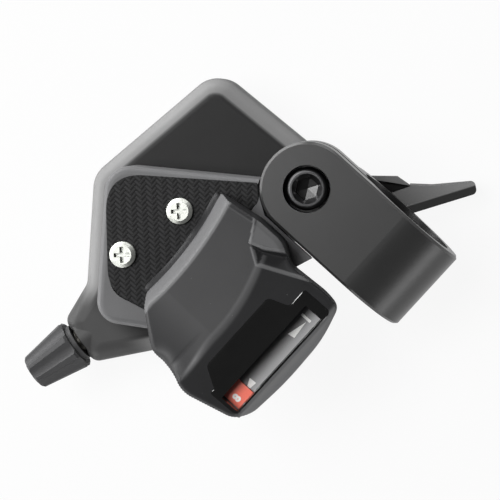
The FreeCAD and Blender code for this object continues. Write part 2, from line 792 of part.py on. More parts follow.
cavity = sketch(cover, [inset(COVER_OUTLINE, "cover_wall")], level="deck_top")
extrude(cover, "Pocket", cavity, "cover_top - cover_wall - deck_top", reverse=True)
round_corners(cover, cavity, {1: "cover_front_round - cover_wall", 2: "cover_left_round - cover_wall",
                              3: "cover_rear_round - cover_wall"})
recess = sketch(cover, [PANEL_OUTLINE], level="cover_top")
extrude(cover, "Pocket", recess, "panel_depth")
round_corners(cover, recess, PANEL_ROUNDS)
dress(cover, "Fillet", edges(cover, cover_rim), "Radius", "cover_edge")
lip = sketch(cover, [[("lip_left_x", "cover_rear_y + cover_edge"), ("lip_left_x", "lip_left_y"),
                      (f"-1 * {LUG_REACH}", "lip_right_y"),
                      (f"-1 * {LUG_REACH}", "cover_rear_y + cover_edge")]], level="cover_top - cover_wall")
extrude(cover, "Pad", lip, "cover_wall")
cylinder(cover, True, "front_post_radius + fit_gap", "cover_top - cover_wall - deck_top", "front_post_x",
         "front_post_y", "deck_top")
cylinder(cover, True, "bar_radius + bar_gap", "band_width + cut_over - cover_left_x",
         x="cover_left_x - cut_over", turn=ALONG_X)
for spot in SCREW_SPOTS:
    cylinder(cover, True, "screw_radius + screw_clear", "cover_wall + 2 * cut_over", *spot,
             "cover_top - cover_wall - cut_over")
wire_passage(cover)
finish(cover, "top_cover")

panel = new_body("panel")
panel_outline = sketch(panel, [PANEL_OUTLINE], level="cover_top - panel_depth")
extrude(panel, "Pad", panel_outline, "panel_depth")
round_corners(panel, panel_outline, PANEL_ROUNDS)
for spot in SCREW_SPOTS:
    cylinder(panel, True, "screw_radius + screw_clear", "panel_depth + 2 * cut_over", *spot,
             "cover_top - panel_depth - cut_over")
finish(panel, "trim_panel")

cover_screws = []
for number, spot in enumerate(SCREW_SPOTS, 1):
    screw = new_body(f"cover_screw_{number}")
    turned(screw, [("0", "-screw_length"), ("screw_radius", "-screw_length"), ("screw_radius", "0"),
                   ("screw_head_radius", "0"), ("screw_head_radius", "screw_head_height - screw_crown"),
                   ("screw_head_radius - screw_crown", "screw_head_height"), ("0", "screw_head_height")])
    for cross_turn in ("45", "135"):
        box(screw, True, "cross_length", "cross_width", "cross_depth + cut_over",
            f"-cross_length / 2 * cos({cross_turn}) + cross_width / 2 * sin({cross_turn})",
            f"-cross_length / 2 * sin({cross_turn}) - cross_width / 2 * cos({cross_turn})",
            "screw_head_height - cross_depth", f"rotation(vector(0; 0; 1); {cross_turn})")
    place(screw, *spot, "cover_top")
    cover_screws.append(screw)
cover_screw_group = doc.addObject("Part::Compound", "cover_screw_group")
cover_screw_group.Links = cover_screws
finish(cover_screw_group, "cover_screws")

# Indicator housing: a moulded pod that reaches back over the bar and frames the gear window.

WINDOW_SLOPE = "atan((pod_crease_z - pod_sill_z) / (pod_crease_y - pod_sill_y))"
WINDOW_RISE = "((pod_crease_z - pod_sill_z) / (pod_crease_y - pod_sill_y))"
WINDOW_TILT = f"rotation(vector(1; 0; 0); {WINDOW_SLOPE})"
SILL = {"y": "pod_sill_y", "z": "pod_sill_z"}
POD_SECTION = [
    ("pod_step_y", "cover_top"), ("pod_front_y", "cover_top"), ("pod_ridge_y", "pod_ridge_z"),
    ("pod_crease_y", "pod_crease_z"), ("pod_sill_y", "pod_sill_z"), ("pod_rear_y", "pod_rear_z"),
    ("pod_rear_y", "pod_floor"), ("pod_step_y", "pod_floor"),
]
POD_OUTLINE = [
    ("pod_front_right_x", "pod_front_y"), ("pod_right_x", "pod_right_front_y"),
    ("pod_right_x", "pod_right_rear_y"), ("pod_notch_x", "pod_notch_y"),
    ("pod_tail_right_x", "pod_tail_y"), ("pod_tail_left_x", "pod_tail_y"), ("pod_waist_x", "pod_waist_y"),
    ("pod_left_x", "pod_left_rear_y"), ("pod_left_x", "pod_left_front_y"),
    ("pod_front_left_x", "pod_front_y - pod_front_skew"),
]
FASCIA_OUTLINE = [
    ("fascia_left_x", "fascia_low"), ("fascia_right_x", "fascia_low"), ("fascia_right_x", "fascia_step"),
    ("fascia_notch_right_x", "fascia_step"), ("fascia_crown_right_x", "fascia_high"),
    ("fascia_crown_left_x", "fascia_high"), ("fascia_notch_left_x", "fascia_step"),
    ("fascia_left_x", "fascia_step"),
]


def rectangle(left, low, right, high):
    return [(left, low), (right, low), (right, high), (left, high)]


def frame_round(loop):
    """A wide rectangle with a hole of the given outline, for trimming a block to that outline."""
    return [rectangle("pod_waist_x - trim_margin", "pod_rear_y - trim_margin", "pod_right_x + trim_margin",
                      "pod_front_y + trim_margin"), loop]


pod = new_body("pod")
section = sketch(pod, [POD_SECTION], plane="YZ_Plane", level="pod_waist_x - cut_over")
extrude(pod, "Pad", section, "pod_right_x - pod_waist_x + 2 * cut_over")
trim = sketch(pod, frame_round(POD_OUTLINE), level="cover_top - cut_over")
extrude(pod, "Pocket", trim, "pod_crease_z - cover_top + 2 * cut_over", reverse=True)
round_corners(pod, trim, {8: "pod_tail_round", 9: "pod_tail_round", 4: "pod_corner_round",
                          12: "pod_corner_round", 13: "pod_corner_round"})
cavity_sill = "pod_sill_z - (pod_sill_y - cavity_rear_y) * " + WINDOW_RISE
ceiling = f"{cavity_sill} - fascia_thickness - ceiling_wall"
cavity = sketch(pod, [[("cavity_rear_y", "pod_floor - cut_over"), ("pod_step_y", "pod_floor - cut_over"),
                       ("pod_step_y", f"{ceiling} + (pod_step_y - cavity_rear_y) * {WINDOW_RISE}"),
                       ("cavity_rear_y", ceiling)]], plane="YZ_Plane", level="cavity_left_x")
extrude(pod, "Pocket", cavity, "cavity_right_x - cavity_left_x", reverse=True)
seat = sketch(pod, [FASCIA_OUTLINE], offset=f"placement(vector(0; pod_sill_y; pod_sill_z); {WINDOW_TILT})")
extrude(pod, "Pocket", seat, "fascia_thickness")
opening = sketch(pod, [rectangle("window_left_x + window_ledge", "window_low + window_ledge",
                                 "window_right_x - window_ledge", "window_high - window_ledge")],
                 offset=f"placement(vector(0; pod_sill_y; pod_sill_z); {WINDOW_TILT})")
extrude(pod, "Pocket", opening, "fascia_thickness + ceiling_wall + cut_over")
cylinder(pod, True, "rail_radius + press_clear", "cavity_right_x - cavity_left_x + 2 * rail_seat",
         "cavity_left_x - rail_seat", "rail_y", RAIL_Z, ALONG_X)
wire_passage(pod)
finish(pod, "indicator_housing")

fascia = new_body("fascia")
fascia_outline = sketch(fascia, [FASCIA_OUTLINE, rectangle("window_left_x", "window_low", "window_right_x",
                                                          "window_high")])
extrude(fascia, "Pad", fascia_outline, "fascia_thickness")
place(fascia, y=f"pod_sill_y + fascia_thickness * sin({WINDOW_SLOPE})",
      z=f"pod_sill_z - fascia_thickness * cos({WINDOW_SLOPE})", turn=WINDOW_TILT)
finish(fascia, "indicator_fascia")

window = new_body("window")
pane = sketch(window, [rectangle("window_left_x + press_clear", "window_low + press_clear",
                                 "window_right_x - press_clear", "window_high - press_clear")])
extrude(window, "Pad", pane, "window_thickness")
place(window, y=f"pod_sill_y + fascia_thickness * sin({WINDOW_SLOPE})",
      z=f"pod_sill_z - fascia_thickness * cos({WINDOW_SLOPE})", turn=WINDOW_TILT)
finish(window, "indicator_window")

floor = new_body("floor")
floor_plan = sketch(floor, [rectangle("cavity_left_x + fit_gap", "cavity_rear_y + fit_gap",
                                      "cavity_right_x - fit_gap", "pod_step_y - fit_gap")], level="pod_floor")
extrude(floor, "Pad", floor_plan, "floor_thickness")
wire_passage(floor)
finish(floor, "indicator_floor")

dial = new_body("dial")
dial_plan = sketch(dial, [rectangle("cavity_left_x + dial_edge_gap", "cavity_rear_y + fit_gap",
                                    "cavity_right_x - dial_edge_gap", "dial_front_y")],
                   level="pod_floor + floor_thickness")
extrude(dial, "Pad", dial_plan, "dial_thickness")
finish(dial, "indicator_dial")

pointer = new_body("pointer")
flag = sketch(pointer, [rectangle("pointer_x - pointer_width / 2", "pointer_tip_y",
                                  "pointer_x + pointer_width / 2", "rail_y")], level=POINTER_Z)
extrude(pointer, "Pad", flag, "pointer_thickness")
box(pointer, False, "pointer_width", "pointer_block_depth", "pointer_block_height",
    "pointer_x - pointer_width / 2", "rail_y - pointer_block_depth / 2", POINTER_Z)
cylinder(pointer, True, "rail_radius + run_clear", "pointer_width + 2 * cut_over",
         "pointer_x - pointer_width / 2 - cut_over", "rail_y", RAIL_Z, ALONG_X)
finish(pointer, "indicator_pointer")

rail = new_body("rail")
cylinder(rail, False, "rail_radius", "cavity_right_x - cavity_left_x + 2 * rail_seat - fit_gap",
         "cavity_left_x - rail_seat + fit_gap / 2", "rail_y", RAIL_Z, ALONG_X)
finish(rail, "pointer_rail")

# Axle, drum and ratchet: the drum winds the cable, and its rim winds the indicator wire.

RATCHET_TOP = "base_bottom + plate_gap + ratchet_thickness"
DRUM_TOP = "deck_top - base_wall - plate_gap"
AXLE_TOP = "cover_top - cover_wall"
CLIP_LOW = "drum_hub_top + clip_gap"

FLANGE_LOW = f"{PLATE_BOTTOM} - axle_flange"

axle = new_body("axle")
turned(axle, [("0", "axle_end"), ("axle_radius", "axle_end"), ("axle_radius", FLANGE_LOW),
              ("axle_flange_radius", FLANGE_LOW), ("axle_flange_radius", PLATE_BOTTOM),
              ("axle_radius", PLATE_BOTTOM), ("axle_radius", CLIP_LOW), ("clip_seat_radius", CLIP_LOW),
              ("clip_seat_radius", f"{CLIP_LOW} + clip_thickness"),
              ("axle_radius", f"{CLIP_LOW} + clip_thickness"), ("axle_radius", AXLE_TOP), ("0", AXLE_TOP)])
cylinder(axle, True, "screw_radius + run_clear", "screw_length", z="cover_top - screw_length - fit_gap")
place(axle, *AXLE)
finish(axle, "main_axle")

clip = new_body("clip")
turned(clip, [("clip_seat_radius + run_clear", "run_clear"), ("clip_radius", "run_clear"),
              ("clip_radius", "clip_thickness - run_clear"),
              ("clip_seat_radius + run_clear", "clip_thickness - run_clear")])
box(clip, True, "clip_radius + cut_over", "2 * clip_seat_radius", "clip_thickness + 2 * cut_over",
    y="-clip_seat_radius", z="-cut_over")
place(clip, *AXLE, CLIP_LOW)
finish(clip, "axle_clip")

drum = new_body("drum")
turned(drum, [("axle_radius + run_clear", RATCHET_TOP), ("drum_radius", RATCHET_TOP),
              ("drum_radius", "cable_z - groove_half"), ("drum_groove_radius", "cable_z - groove_floor_half"),
              ("drum_groove_radius", "cable_z + groove_floor_half"), ("drum_radius", "cable_z + groove_half"),
              ("drum_radius", "wire_z - wire_groove_half"),
              ("drum_radius - wire_groove_depth", "wire_z - wire_groove_half"),
              ("drum_radius - wire_groove_depth", DRUM_TOP), ("drum_hub_radius", DRUM_TOP),
              ("drum_hub_radius", "drum_hub_top"), ("axle_radius + run_clear", "drum_hub_top")])
box(drum, False, "drum_key", "drum_key", "ratchet_thickness", "-drum_key / 2", "-drum_key / 2",
    "base_bottom + plate_gap")
cylinder(drum, True, "axle_radius + run_clear", "ratchet_thickness + cut_over",
         z="base_bottom + plate_gap - cut_over")
place(drum, *AXLE)
finish(drum, "cable_drum")

TOOTH_LEAD = "(360 / ratchet_teeth * tooth_lead)"
TOOTH_END = "(360 / ratchet_teeth * tooth_share)"
TOOTH_FOOT = f"({RATCHET_ROOT} - fit_gap)"
ratchet = new_body("ratchet")
cylinder(ratchet, False, RATCHET_ROOT, "ratchet_thickness")
tooth = sketch(ratchet, [[(TOOTH_FOOT, "0"),
                          (f"{RATCHET_TIP} * cos{TOOTH_LEAD}", f"{RATCHET_TIP} * sin{TOOTH_LEAD}"),
                          (f"{TOOTH_FOOT} * cos{TOOTH_END}", f"{TOOTH_FOOT} * sin{TOOTH_END}"),
                          (f"drum_key * cos{TOOTH_END}", f"drum_key * sin{TOOTH_END}"), ("drum_key", "0")]])
tooth_pad = extrude(ratchet, "Pad", tooth, "ratchet_thickness")
teeth = ratchet.newObject("PartDesign::PolarPattern", "ratchet_tooth_ring")
teeth.Originals = [tooth_pad]
teeth.Axis = (tooth, ["N_Axis"])
teeth.Angle = 360
bind(teeth, "Occurrences", "ratchet_teeth")
ratchet.Tip = teeth
doc.recompute()
box(ratchet, True, "drum_key + 2 * fit_gap", "drum_key + 2 * fit_gap", "ratchet_thickness + 2 * cut_over",
    "-drum_key / 2 - fit_gap", "-drum_key / 2 - fit_gap", "-cut_over")
place(ratchet, *AXLE, "base_bottom + plate_gap")
finish(ratchet, "ratchet_wheel")

# Indicator wire: from the drum's rim obliquely up to the display, then along it to the pointer.

wire = new_body("wire")
cylinder(wire, False, "wire_radius", WIRE_LENGTH, *WIRE_START, WIRE_TURN)
solid(wire, "AdditiveSphere", {"Radius": "wire_radius"}, *WIRE_CORNER)
cylinder(wire, False, "wire_radius", "wire_corner_x - pointer_x - pointer_width / 2",
         "pointer_x + pointer_width / 2", *WIRE_CORNER[1:], ALONG_X)
finish(wire, "indicator_wire")

# Pawls: the feed pawl rides on the thumb lever, the hold pawl on the plate, each with a coil on its pin.

PAWL_TIP_RADIUS = f"({RATCHET_TIP} + pawl_tip_gap)"
PAWL_LOW = "base_bottom + fit_gap"
PAWL_HIGH = f"{PAWL_LOW} + pawl_thickness"


def pawl(label, orbit, angle, tip_angle, side):
    """A tapered pawl from its pin to just outside the ratchet's tips. Its side faces the ratchet."""
    run_x = f"({PAWL_TIP_RADIUS} * cos({tip_angle}) - {orbit} * cos({angle}))"
    run_y = f"({PAWL_TIP_RADIUS} * sin({tip_angle}) - {orbit} * sin({angle}))"
    reach = f"sqrt({run_x} * {run_x} + {run_y} * {run_y})"
    body = new_body(label)
    arm = sketch(body, [[("0", f"{side} * pawl_boss_radius"), (reach, "0"), (reach, f"{-side} * pawl_nose"),
                         ("0", f"{-side} * pawl_boss_radius")]])
    extrude(body, "Pad", arm, "pawl_thickness")
    cylinder(body, False, "pawl_boss_radius", "pawl_thickness")
    cylinder(body, True, "pin_radius + run_clear", "pawl_thickness + 2 * cut_over", z="-cut_over")
    place(body, *around_axle(orbit, angle), PAWL_LOW,
          f"rotation(vector(0; 0; 1); atan2({run_y}; {run_x}))")
    finish(body, label)
    coil(label + "_spring", "coil_wire", "coil_radius", "coil_pitch", "coil_turns",
         *around_axle(orbit, angle), f"{PAWL_HIGH} + coil_wire + run_clear")


def pin(label, spot, low):
    body = new_body(label)
    cylinder(body, False, "pin_radius", f"{PAWL_HIGH} + coil_pitch * (coil_turns + 1) - ({low})")
    place(body, *spot, low)
    finish(body, label)


pawl("hold_pawl", HOLD_ORBIT, "hold_angle", "hold_tip_angle", 1)
pin("hold_pawl_pin", HOLD_PIN, PLATE_BOTTOM)
pawl("feed_pawl", FEED_ORBIT, "feed_angle", "feed_tip_angle", 1)

# Levers: both turn on the axle under the plate. The thumb lever feeds, the shorter one releases.

LEVER_TOP = f"({PLATE_BOTTOM} - lever_drop)"
LEVER_LOW = f"({LEVER_TOP} - lever_thickness)"
RELEASE_TOP = f"({LEVER_LOW} - release_gap)"
RELEASE_LOW = f"({RELEASE_TOP} - release_thickness)"
THUMB_ARM = [
    ("thumb_hub_rear_x", "thumb_hub_rear_y"), ("thumb_root_rear_x", "thumb_root_rear_y"),
    ("thumb_pad_rear_x", "thumb_pad_rear_y"), ("thumb_pad_front_x", "thumb_pad_front_y"),
    ("thumb_root_front_x", "thumb_root_front_y"), ("thumb_hub_front_x", "thumb_hub_front_y"),
]
THUMB_PAD = [
    ("thumb_pad_rear_x", "thumb_pad_rear_y"), ("thumb_tip_rear_x", "thumb_tip_rear_y"),
    ("thumb_tip_front_x", "thumb_tip_front_y"), ("thumb_neck_x", "thumb_neck_y"),
    ("thumb_pad_front_x", "thumb_pad_front_y"),
]
THUMB_HOLLOW = [
    ("thumb_hollow_front_x", "thumb_hollow_front_y"), ("thumb_hollow_rear_x", "thumb_hollow_rear_y"),
    ("thumb_hollow_tip_x", "thumb_hollow_tip_y"),
]
THUMB_TURN = "atan2(thumb_tip_rear_y - thumb_pad_rear_y; thumb_tip_rear_x - thumb_pad_rear_x)"
SLOPE_SIDE = "(thumb_slope_width - thumb_slope_reach * cos(thumb_slope))"

thumb = new_body("thumb")
finger = sketch(thumb, [THUMB_PAD], level="thumb_pad_bottom")
extrude(thumb, "Pad", finger, f"{LEVER_TOP} - thumb_pad_bottom")
round_corners(thumb, finger, {1: "thumb_tip_round", 2: "thumb_tip_round", 3: "thumb_neck_round"})
arm = sketch(thumb, [THUMB_ARM], level=LEVER_LOW)
extrude(thumb, "Pad", arm, "lever_thickness")
box(thumb, True, "thumb_slope_length", "thumb_slope_reach", "thumb_slope_reach",
    f"thumb_pad_rear_x - thumb_slope_back * cos({THUMB_TURN}) - {SLOPE_SIDE} * sin({THUMB_TURN})",
    f"thumb_pad_rear_y - thumb_slope_back * sin({THUMB_TURN}) + {SLOPE_SIDE} * cos({THUMB_TURN})",
    f"{LEVER_TOP} - thumb_slope_reach * sin(thumb_slope)",
    f"rotation(vector(0; 0; 1); {THUMB_TURN}) * rotation(vector(1; 0; 0); thumb_slope)")
dip = sketch(thumb, [THUMB_HOLLOW], level=LEVER_TOP)
extrude(thumb, "Pocket", dip, "thumb_hollow_depth")
cylinder(thumb, False, "lever_hub_radius", "lever_thickness", *AXLE, LEVER_LOW)
cylinder(thumb, False, "axle_flange_radius", "lever_drop - axle_flange - run_clear", *AXLE, LEVER_TOP)
box(thumb, False, FEED_ORBIT, "2 * pawl_boss_radius", "lever_thickness",
    "axle_x + pawl_boss_radius * sin(feed_angle)", "axle_y - pawl_boss_radius * cos(feed_angle)", LEVER_LOW,
    "rotation(vector(0; 0; 1); feed_angle)")
cylinder(thumb, False, "pawl_boss_radius", "lever_thickness", *FEED_PIN, LEVER_LOW)
cylinder(thumb, True, "axle_radius + run_clear", "lever_thickness + lever_drop + 2 * cut_over", *AXLE,
         f"{LEVER_LOW} - cut_over")
cylinder(thumb, True, "pin_radius + press_clear", "lever_thickness + 2 * cut_over", *FEED_PIN,
         f"{LEVER_LOW} - cut_over")
finish(thumb, "thumb_lever")
pin("feed_pawl_pin", FEED_PIN, LEVER_LOW)
coil("thumb_lever_spring", "return_wire", "return_coil_radius", "return_pitch", "return_turns", *AXLE,
     f"{LEVER_TOP} + return_wire + run_clear")

washer = new_body("washer")
turned(washer, [("axle_radius + run_clear", "run_clear"), ("lever_washer_radius", "run_clear"),
                ("lever_washer_radius", "release_gap - run_clear"),
                ("axle_radius + run_clear", "release_gap - run_clear")])
place(washer, *AXLE, RELEASE_TOP)
finish(washer, "lever_washer")

EAR_TURN = "(release_post_angle - release_turn)"
release = new_body("release")
bar = sketch(release, [[("0", "-release_root_half"), ("release_reach", "-release_tip_half"),
                        ("release_reach", "release_tip_half"), ("0", "release_root_half")]])
extrude(release, "Pad", bar, "release_thickness")
round_corners(release, bar, {1: "thumb_tip_round", 2: "thumb_tip_round"})
box(release, False, "release_pad_length", "release_pad_depth", f"{RELEASE_LOW} - release_pad_bottom",
    "release_reach - release_pad_length - thumb_tip_round", "-release_tip_half",
    f"release_pad_bottom - {RELEASE_LOW}")
cylinder(release, False, "lever_hub_radius", "release_thickness")
box(release, False, POST_ORBIT, "2 * release_ear_half", "release_thickness",
    f"release_ear_half * sin{EAR_TURN}", f"-release_ear_half * cos{EAR_TURN}", "0",
    f"rotation(vector(0; 0; 1); {EAR_TURN})")
cylinder(release, False, "release_ear_half", "release_thickness", f"{POST_ORBIT} * cos{EAR_TURN}",
         f"{POST_ORBIT} * sin{EAR_TURN}")
cylinder(release, False, "release_post_radius", f"{PAWL_HIGH} - {RELEASE_LOW}",
         f"{POST_ORBIT} * cos{EAR_TURN}", f"{POST_ORBIT} * sin{EAR_TURN}")
cylinder(release, True, "axle_radius + run_clear", "release_thickness + 2 * cut_over", z="-cut_over")
place(release, *AXLE, RELEASE_LOW, "rotation(vector(0; 0; 1); release_turn)")
finish(release, "release_lever")

nut = new_body("nut")
hexagon = solid(nut, "AdditivePrism", {"Circumradius": "nut_across / 2 / cos(30)", "Height": "nut_height"})
hexagon.Polygon = 6
cylinder(nut, True, "axle_radius + run_clear", "nut_height + 2 * cut_over", z="-cut_over")
place(nut, *AXLE, f"{RELEASE_LOW} - run_clear - nut_height")
finish(nut, "axle_nut")
coil("release_lever_spring", "return_wire", "return_coil_radius", "return_pitch", "return_turns", *AXLE,
     f"{RELEASE_LOW} - run_clear - return_wire - return_pitch * return_turns")

# Barrel adjuster: a fluted knob on a hollow threaded stem, which a small coil keeps from turning by itself.

KNOB_END = "(knob_gap + knob_length)"
KNOB_RIM = "(knob_gap + knob_neck)"
SEAT = f"{KNOB_END} - casing_depth"
knob = new_body("knob")
turned(knob, [("stem_radius + press_clear", "knob_gap"), ("knob_neck_radius", "knob_gap"),
              ("knob_neck_radius", KNOB_RIM), ("knob_rim_radius - knob_edge", KNOB_RIM),
              ("knob_rim_radius", f"{KNOB_RIM} + knob_edge"),
              ("knob_end_radius", f"{KNOB_END} - knob_edge"), ("knob_end_radius - knob_edge", KNOB_END),
              ("casing_radius", KNOB_END), ("casing_radius", SEAT), ("stem_radius + press_clear", SEAT)])
flute = cylinder(knob, True, "flute_radius", "knob_length + knob_neck",
                 "knob_rim_radius - flute_depth + flute_radius", z="knob_gap",
                 turn="rotation(vector(0; 1; 0); atan((knob_end_radius - knob_rim_radius) / knob_length))")
flutes = knob.newObject("PartDesign::PolarPattern", "knob_flutes")
flutes.Originals = [flute]
flutes.Axis = (origin_plane(knob, "Z_Axis"), "")
flutes.Angle = 360
bind(flutes, "Occurrences", "flute_count")
knob.Tip = flutes
doc.recompute()
place(knob, **along_boss("0"))
finish(knob, "barrel_adjuster")

stem = new_body("stem")
turned(stem, [("cable_hole_radius", "-stem_length"), ("stem_radius", "-stem_length"),
              ("stem_radius", SEAT), ("cable_hole_radius", SEAT)])
place(stem, **along_boss("0"))
finish(stem, "adjuster_stem")
click = along_boss("-click_bore_depth + click_spring_wire + run_clear")
coil("adjuster_spring", "click_spring_wire", "click_spring_radius", "click_spring_pitch",
     "click_spring_turns", *click.values())

doc.recompute()
for thing in doc.Objects:
    if "Invalid" in thing.State or "Error" in thing.State:
        raise SystemExit(f"{thing.Label} failed: {thing.State}")

os.makedirs("parts", exist_ok=True)
for part in parts:
    if part.Shape.isNull() or not part.Shape.isValid():
        raise SystemExit(f"{part.Label} has no valid shape")
    part.Shape.exportStep(f"parts/{part.Label}.step")
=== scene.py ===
import math

import bpy
import numpy as np
from mathutils import Matrix, Vector


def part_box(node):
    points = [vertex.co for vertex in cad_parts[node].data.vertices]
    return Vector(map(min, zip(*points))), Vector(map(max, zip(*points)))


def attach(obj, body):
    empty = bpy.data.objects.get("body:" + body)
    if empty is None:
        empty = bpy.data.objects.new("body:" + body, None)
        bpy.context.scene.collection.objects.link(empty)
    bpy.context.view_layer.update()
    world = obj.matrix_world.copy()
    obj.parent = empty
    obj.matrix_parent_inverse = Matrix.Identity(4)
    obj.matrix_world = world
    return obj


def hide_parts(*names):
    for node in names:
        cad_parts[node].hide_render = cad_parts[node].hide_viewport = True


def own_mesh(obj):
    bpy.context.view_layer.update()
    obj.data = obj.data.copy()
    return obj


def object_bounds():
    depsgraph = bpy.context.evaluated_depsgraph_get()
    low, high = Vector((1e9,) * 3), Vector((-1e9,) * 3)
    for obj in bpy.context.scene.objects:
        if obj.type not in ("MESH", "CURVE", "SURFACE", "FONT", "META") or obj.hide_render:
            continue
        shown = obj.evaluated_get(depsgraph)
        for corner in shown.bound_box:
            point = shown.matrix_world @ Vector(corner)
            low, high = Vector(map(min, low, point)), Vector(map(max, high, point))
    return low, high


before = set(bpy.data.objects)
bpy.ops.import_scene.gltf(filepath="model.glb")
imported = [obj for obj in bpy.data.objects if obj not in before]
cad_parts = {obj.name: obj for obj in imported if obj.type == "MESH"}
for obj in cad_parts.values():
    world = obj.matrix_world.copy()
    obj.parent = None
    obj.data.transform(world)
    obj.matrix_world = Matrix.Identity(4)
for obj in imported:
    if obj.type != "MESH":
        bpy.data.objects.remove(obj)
cad_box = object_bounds()

# Base housing: the black shell round the winding gear, injection moulded in nylon.
# Its deck has broad round edges, painted a lighter grey as a highlight, and a boss for the cable, where the
# painted highlight fades to an even grey.
# The mould's spark-eroded grain shows on every outer face.


class Socket:
    """A node's output that takes part in arithmetic: each operator adds a Math node to the material."""

    def __init__(self, tree, out):
        self.tree = tree
        self.out = out

    def node(self, kind, settings, inputs, output=0):
        """Add a node of any kind. Its settings come first, then its inputs, which are values or sockets."""
        made = self.tree.nodes.new("ShaderNode" + kind)
        for name, value in settings.items():
            setattr(made, name, value)
        for name, value in inputs.items():
            if isinstance(value, Socket):
                self.tree.links.new(value.out, made.inputs[name])
            else:
                made.inputs[name].default_value = value
        return Socket(self.tree, made.outputs[output])

    def maths(self, operation, *others):
        """A Math node's result for this value and any others."""
        return self.node("Math", {"operation": operation}, dict(enumerate((self, *others))))

    def __add__(self, other):
        return self.maths("ADD", other)

    __radd__ = __add__

    def __mul__(self, other):
        return self.maths("MULTIPLY", other)

    __rmul__ = __mul__

    def __sub__(self, other):
        return self.maths("SUBTRACT", other)

    def __rsub__(self, other):
        return self * -1.0 + other

    def __lt__(self, other):
        return self.maths("LESS_THAN", other)

    def axis(self, letter):
        """One coordinate of a place."""
        return self.node("SeparateXYZ", {}, {0: self}, letter)

    def step(self, low, high):
        """A smooth rise from 0 at the low value to 1 at the high one."""
        return self.node("MapRange", {"interpolation_type": "SMOOTHSTEP"}, {0: self, 1: low, 2: high})

    def noise(self, cell, detail=2.0):
        """Cloudy values from 0 to 1 with clouds about as wide as the cell, in metres."""
        return self.node("TexNoise", {}, {"Vector": self, "Scale": 1.0 / cell, "Detail": detail})

    def mix(self, first, second):
        """The first colour where this value is 0, the second where it is 1."""
        pair = [value if isinstance(value, Socket) else (*value, 1.0) for value in (first, second)]
        return self.node("Mix", {"data_type": "RGBA"}, {0: self, 6: pair[0], 7: pair[1]}, 2)

    def bump(self, height):
        """A surface normal for a relief of this value, from 0 to 1, of a height in metres."""
        return self.node("Bump", {}, {"Height": self, "Distance": height, "Strength": 1.0})


def new_finish(name, **constants):
    """A material with one Principled shader: a function that feeds its sockets, and its coordinates."""
    material = bpy.data.materials.new(name)
    material.use_nodes = True
    tree = material.node_tree
    shader = tree.nodes["Principled BSDF"]
    for socket, value in constants.items():
        shader.inputs[socket.replace("_", " ")].default_value = value

    def feed(**values):
        for socket, value in values.items():
            tree.links.new(value.out, shader.inputs[socket.replace("_", " ")])
        return material

    return feed, Socket(tree, tree.nodes.new("ShaderNodeTexCoord").outputs["Object"])


def paint(material, *names):
    """Give CAD nodes their finish."""
    for name in names:
        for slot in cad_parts[name].material_slots:
            slot.material = material


deck_z, edge_z, edge_low_z, side_z = -0.002003, -0.0022, -0.0038, -0.0066
boss_start_x, boss_full_x = -0.044, -0.051
feed, place = new_finish("housing_black", Specular_IOR_Level=0.1)
fine = place.noise(0.00028, 3.0)
grain = place.noise(0.009) * 0.6 + fine * 0.4
height = place.axis("Z")
# Painted highlight: the round edge just under the deck is painted a lighter grey, fading out down the sides.
edge_highlight = height.step(deck_z, edge_z) * height.step(side_z, edge_low_z)
black = edge_highlight.mix(grain.mix((0.005, 0.005, 0.005), (0.012, 0.012, 0.0122)),
                 grain.mix((0.12, 0.12, 0.12), (0.16, 0.16, 0.16)))
# Over the cable boss the painted highlight gives way to an even grey, a little lighter than the deck.
boss = place.axis("X").step(boss_start_x, boss_full_x)
paint(feed(Base_Color=boss.mix(black, grain.mix((0.03, 0.03, 0.03), (0.05, 0.05, 0.05))),
           Roughness=fine * 0.16 + 0.36, Normal=fine.bump(0.000012)), "base_housing")

# Winding gear: a stamped zinc-plated base plate with its screws, the axle, and hardened pawls and ratchet.
# The cable drum is white acetal, and the coils are drawn spring steel.


def plated(name, colour, roughness, streak):
    """Plated steel: bright metal with fine brushed streaks about as long as the streak, in metres."""
    feed, place = new_finish(name, Metallic=1.0)
    stretched = place.node("Mapping", {}, {"Vector": place, "Scale": (1.0, 12.0, 12.0)})
    lines = stretched.noise(streak, 4.0)
    clouds = place.noise(0.004)
    dull = [part * 0.75 for part in colour]
    return feed(Base_Color=clouds.mix(colour, dull), Roughness=lines * 0.25 + (roughness - 0.1),
                Normal=lines.bump(0.000004))


def moulded(name, colour, roughness, grain, depth, **constants):
    """Moulded plastic: a fine grain of a cell size and depth in metres, with faint clouds in the colour."""
    feed, place = new_finish(name, **constants)
    clouds = place.noise(0.009)
    fine = place.noise(grain, 3.0)
    dark = [part * 0.82 for part in colour]
    light = [part * 1.2 for part in colour]
    return feed(Base_Color=(clouds * 0.6 + fine * 0.4).mix(dark, light),
                Roughness=fine * 0.16 + (roughness - 0.08), Normal=fine.bump(depth))


zinc = plated("steel_zinc", (0.55, 0.56, 0.54), 0.34, 0.002)
paint(zinc, "base_plate", "plate_screws", "main_axle", "axle_clip", "axle_nut", "lever_washer",
      "pointer_rail", "hold_pawl_pin", "feed_pawl_pin")
paint(plated("steel_hard", (0.42, 0.42, 0.43), 0.34, 0.002), "ratchet_wheel", "hold_pawl", "feed_pawl")
spring_steel = plated("steel_spring", (0.6, 0.6, 0.61), 0.26, 0.001)
paint(spring_steel, "hold_pawl_spring", "feed_pawl_spring", "thumb_lever_spring", "release_lever_spring")
paint(moulded("drum_white", (0.7, 0.69, 0.66), 0.4, 0.0004, 0.00001), "cable_drum")

# Top cover: a satin grey cap on the deck, moulded in nylon.
# Two screws hold it down, and its round rim frames the trim panel.

paint(moulded("cover_grey", (0.09, 0.09, 0.092), 0.4, 0.0003, 0.00001, Specular_IOR_Level=0.1), "top_cover")

# Trim panel: a thin black moulding laid into the cover, with the look of a twill weave.
# Its bundles pass over two and under two, so that they step across the panel in slanted rows.

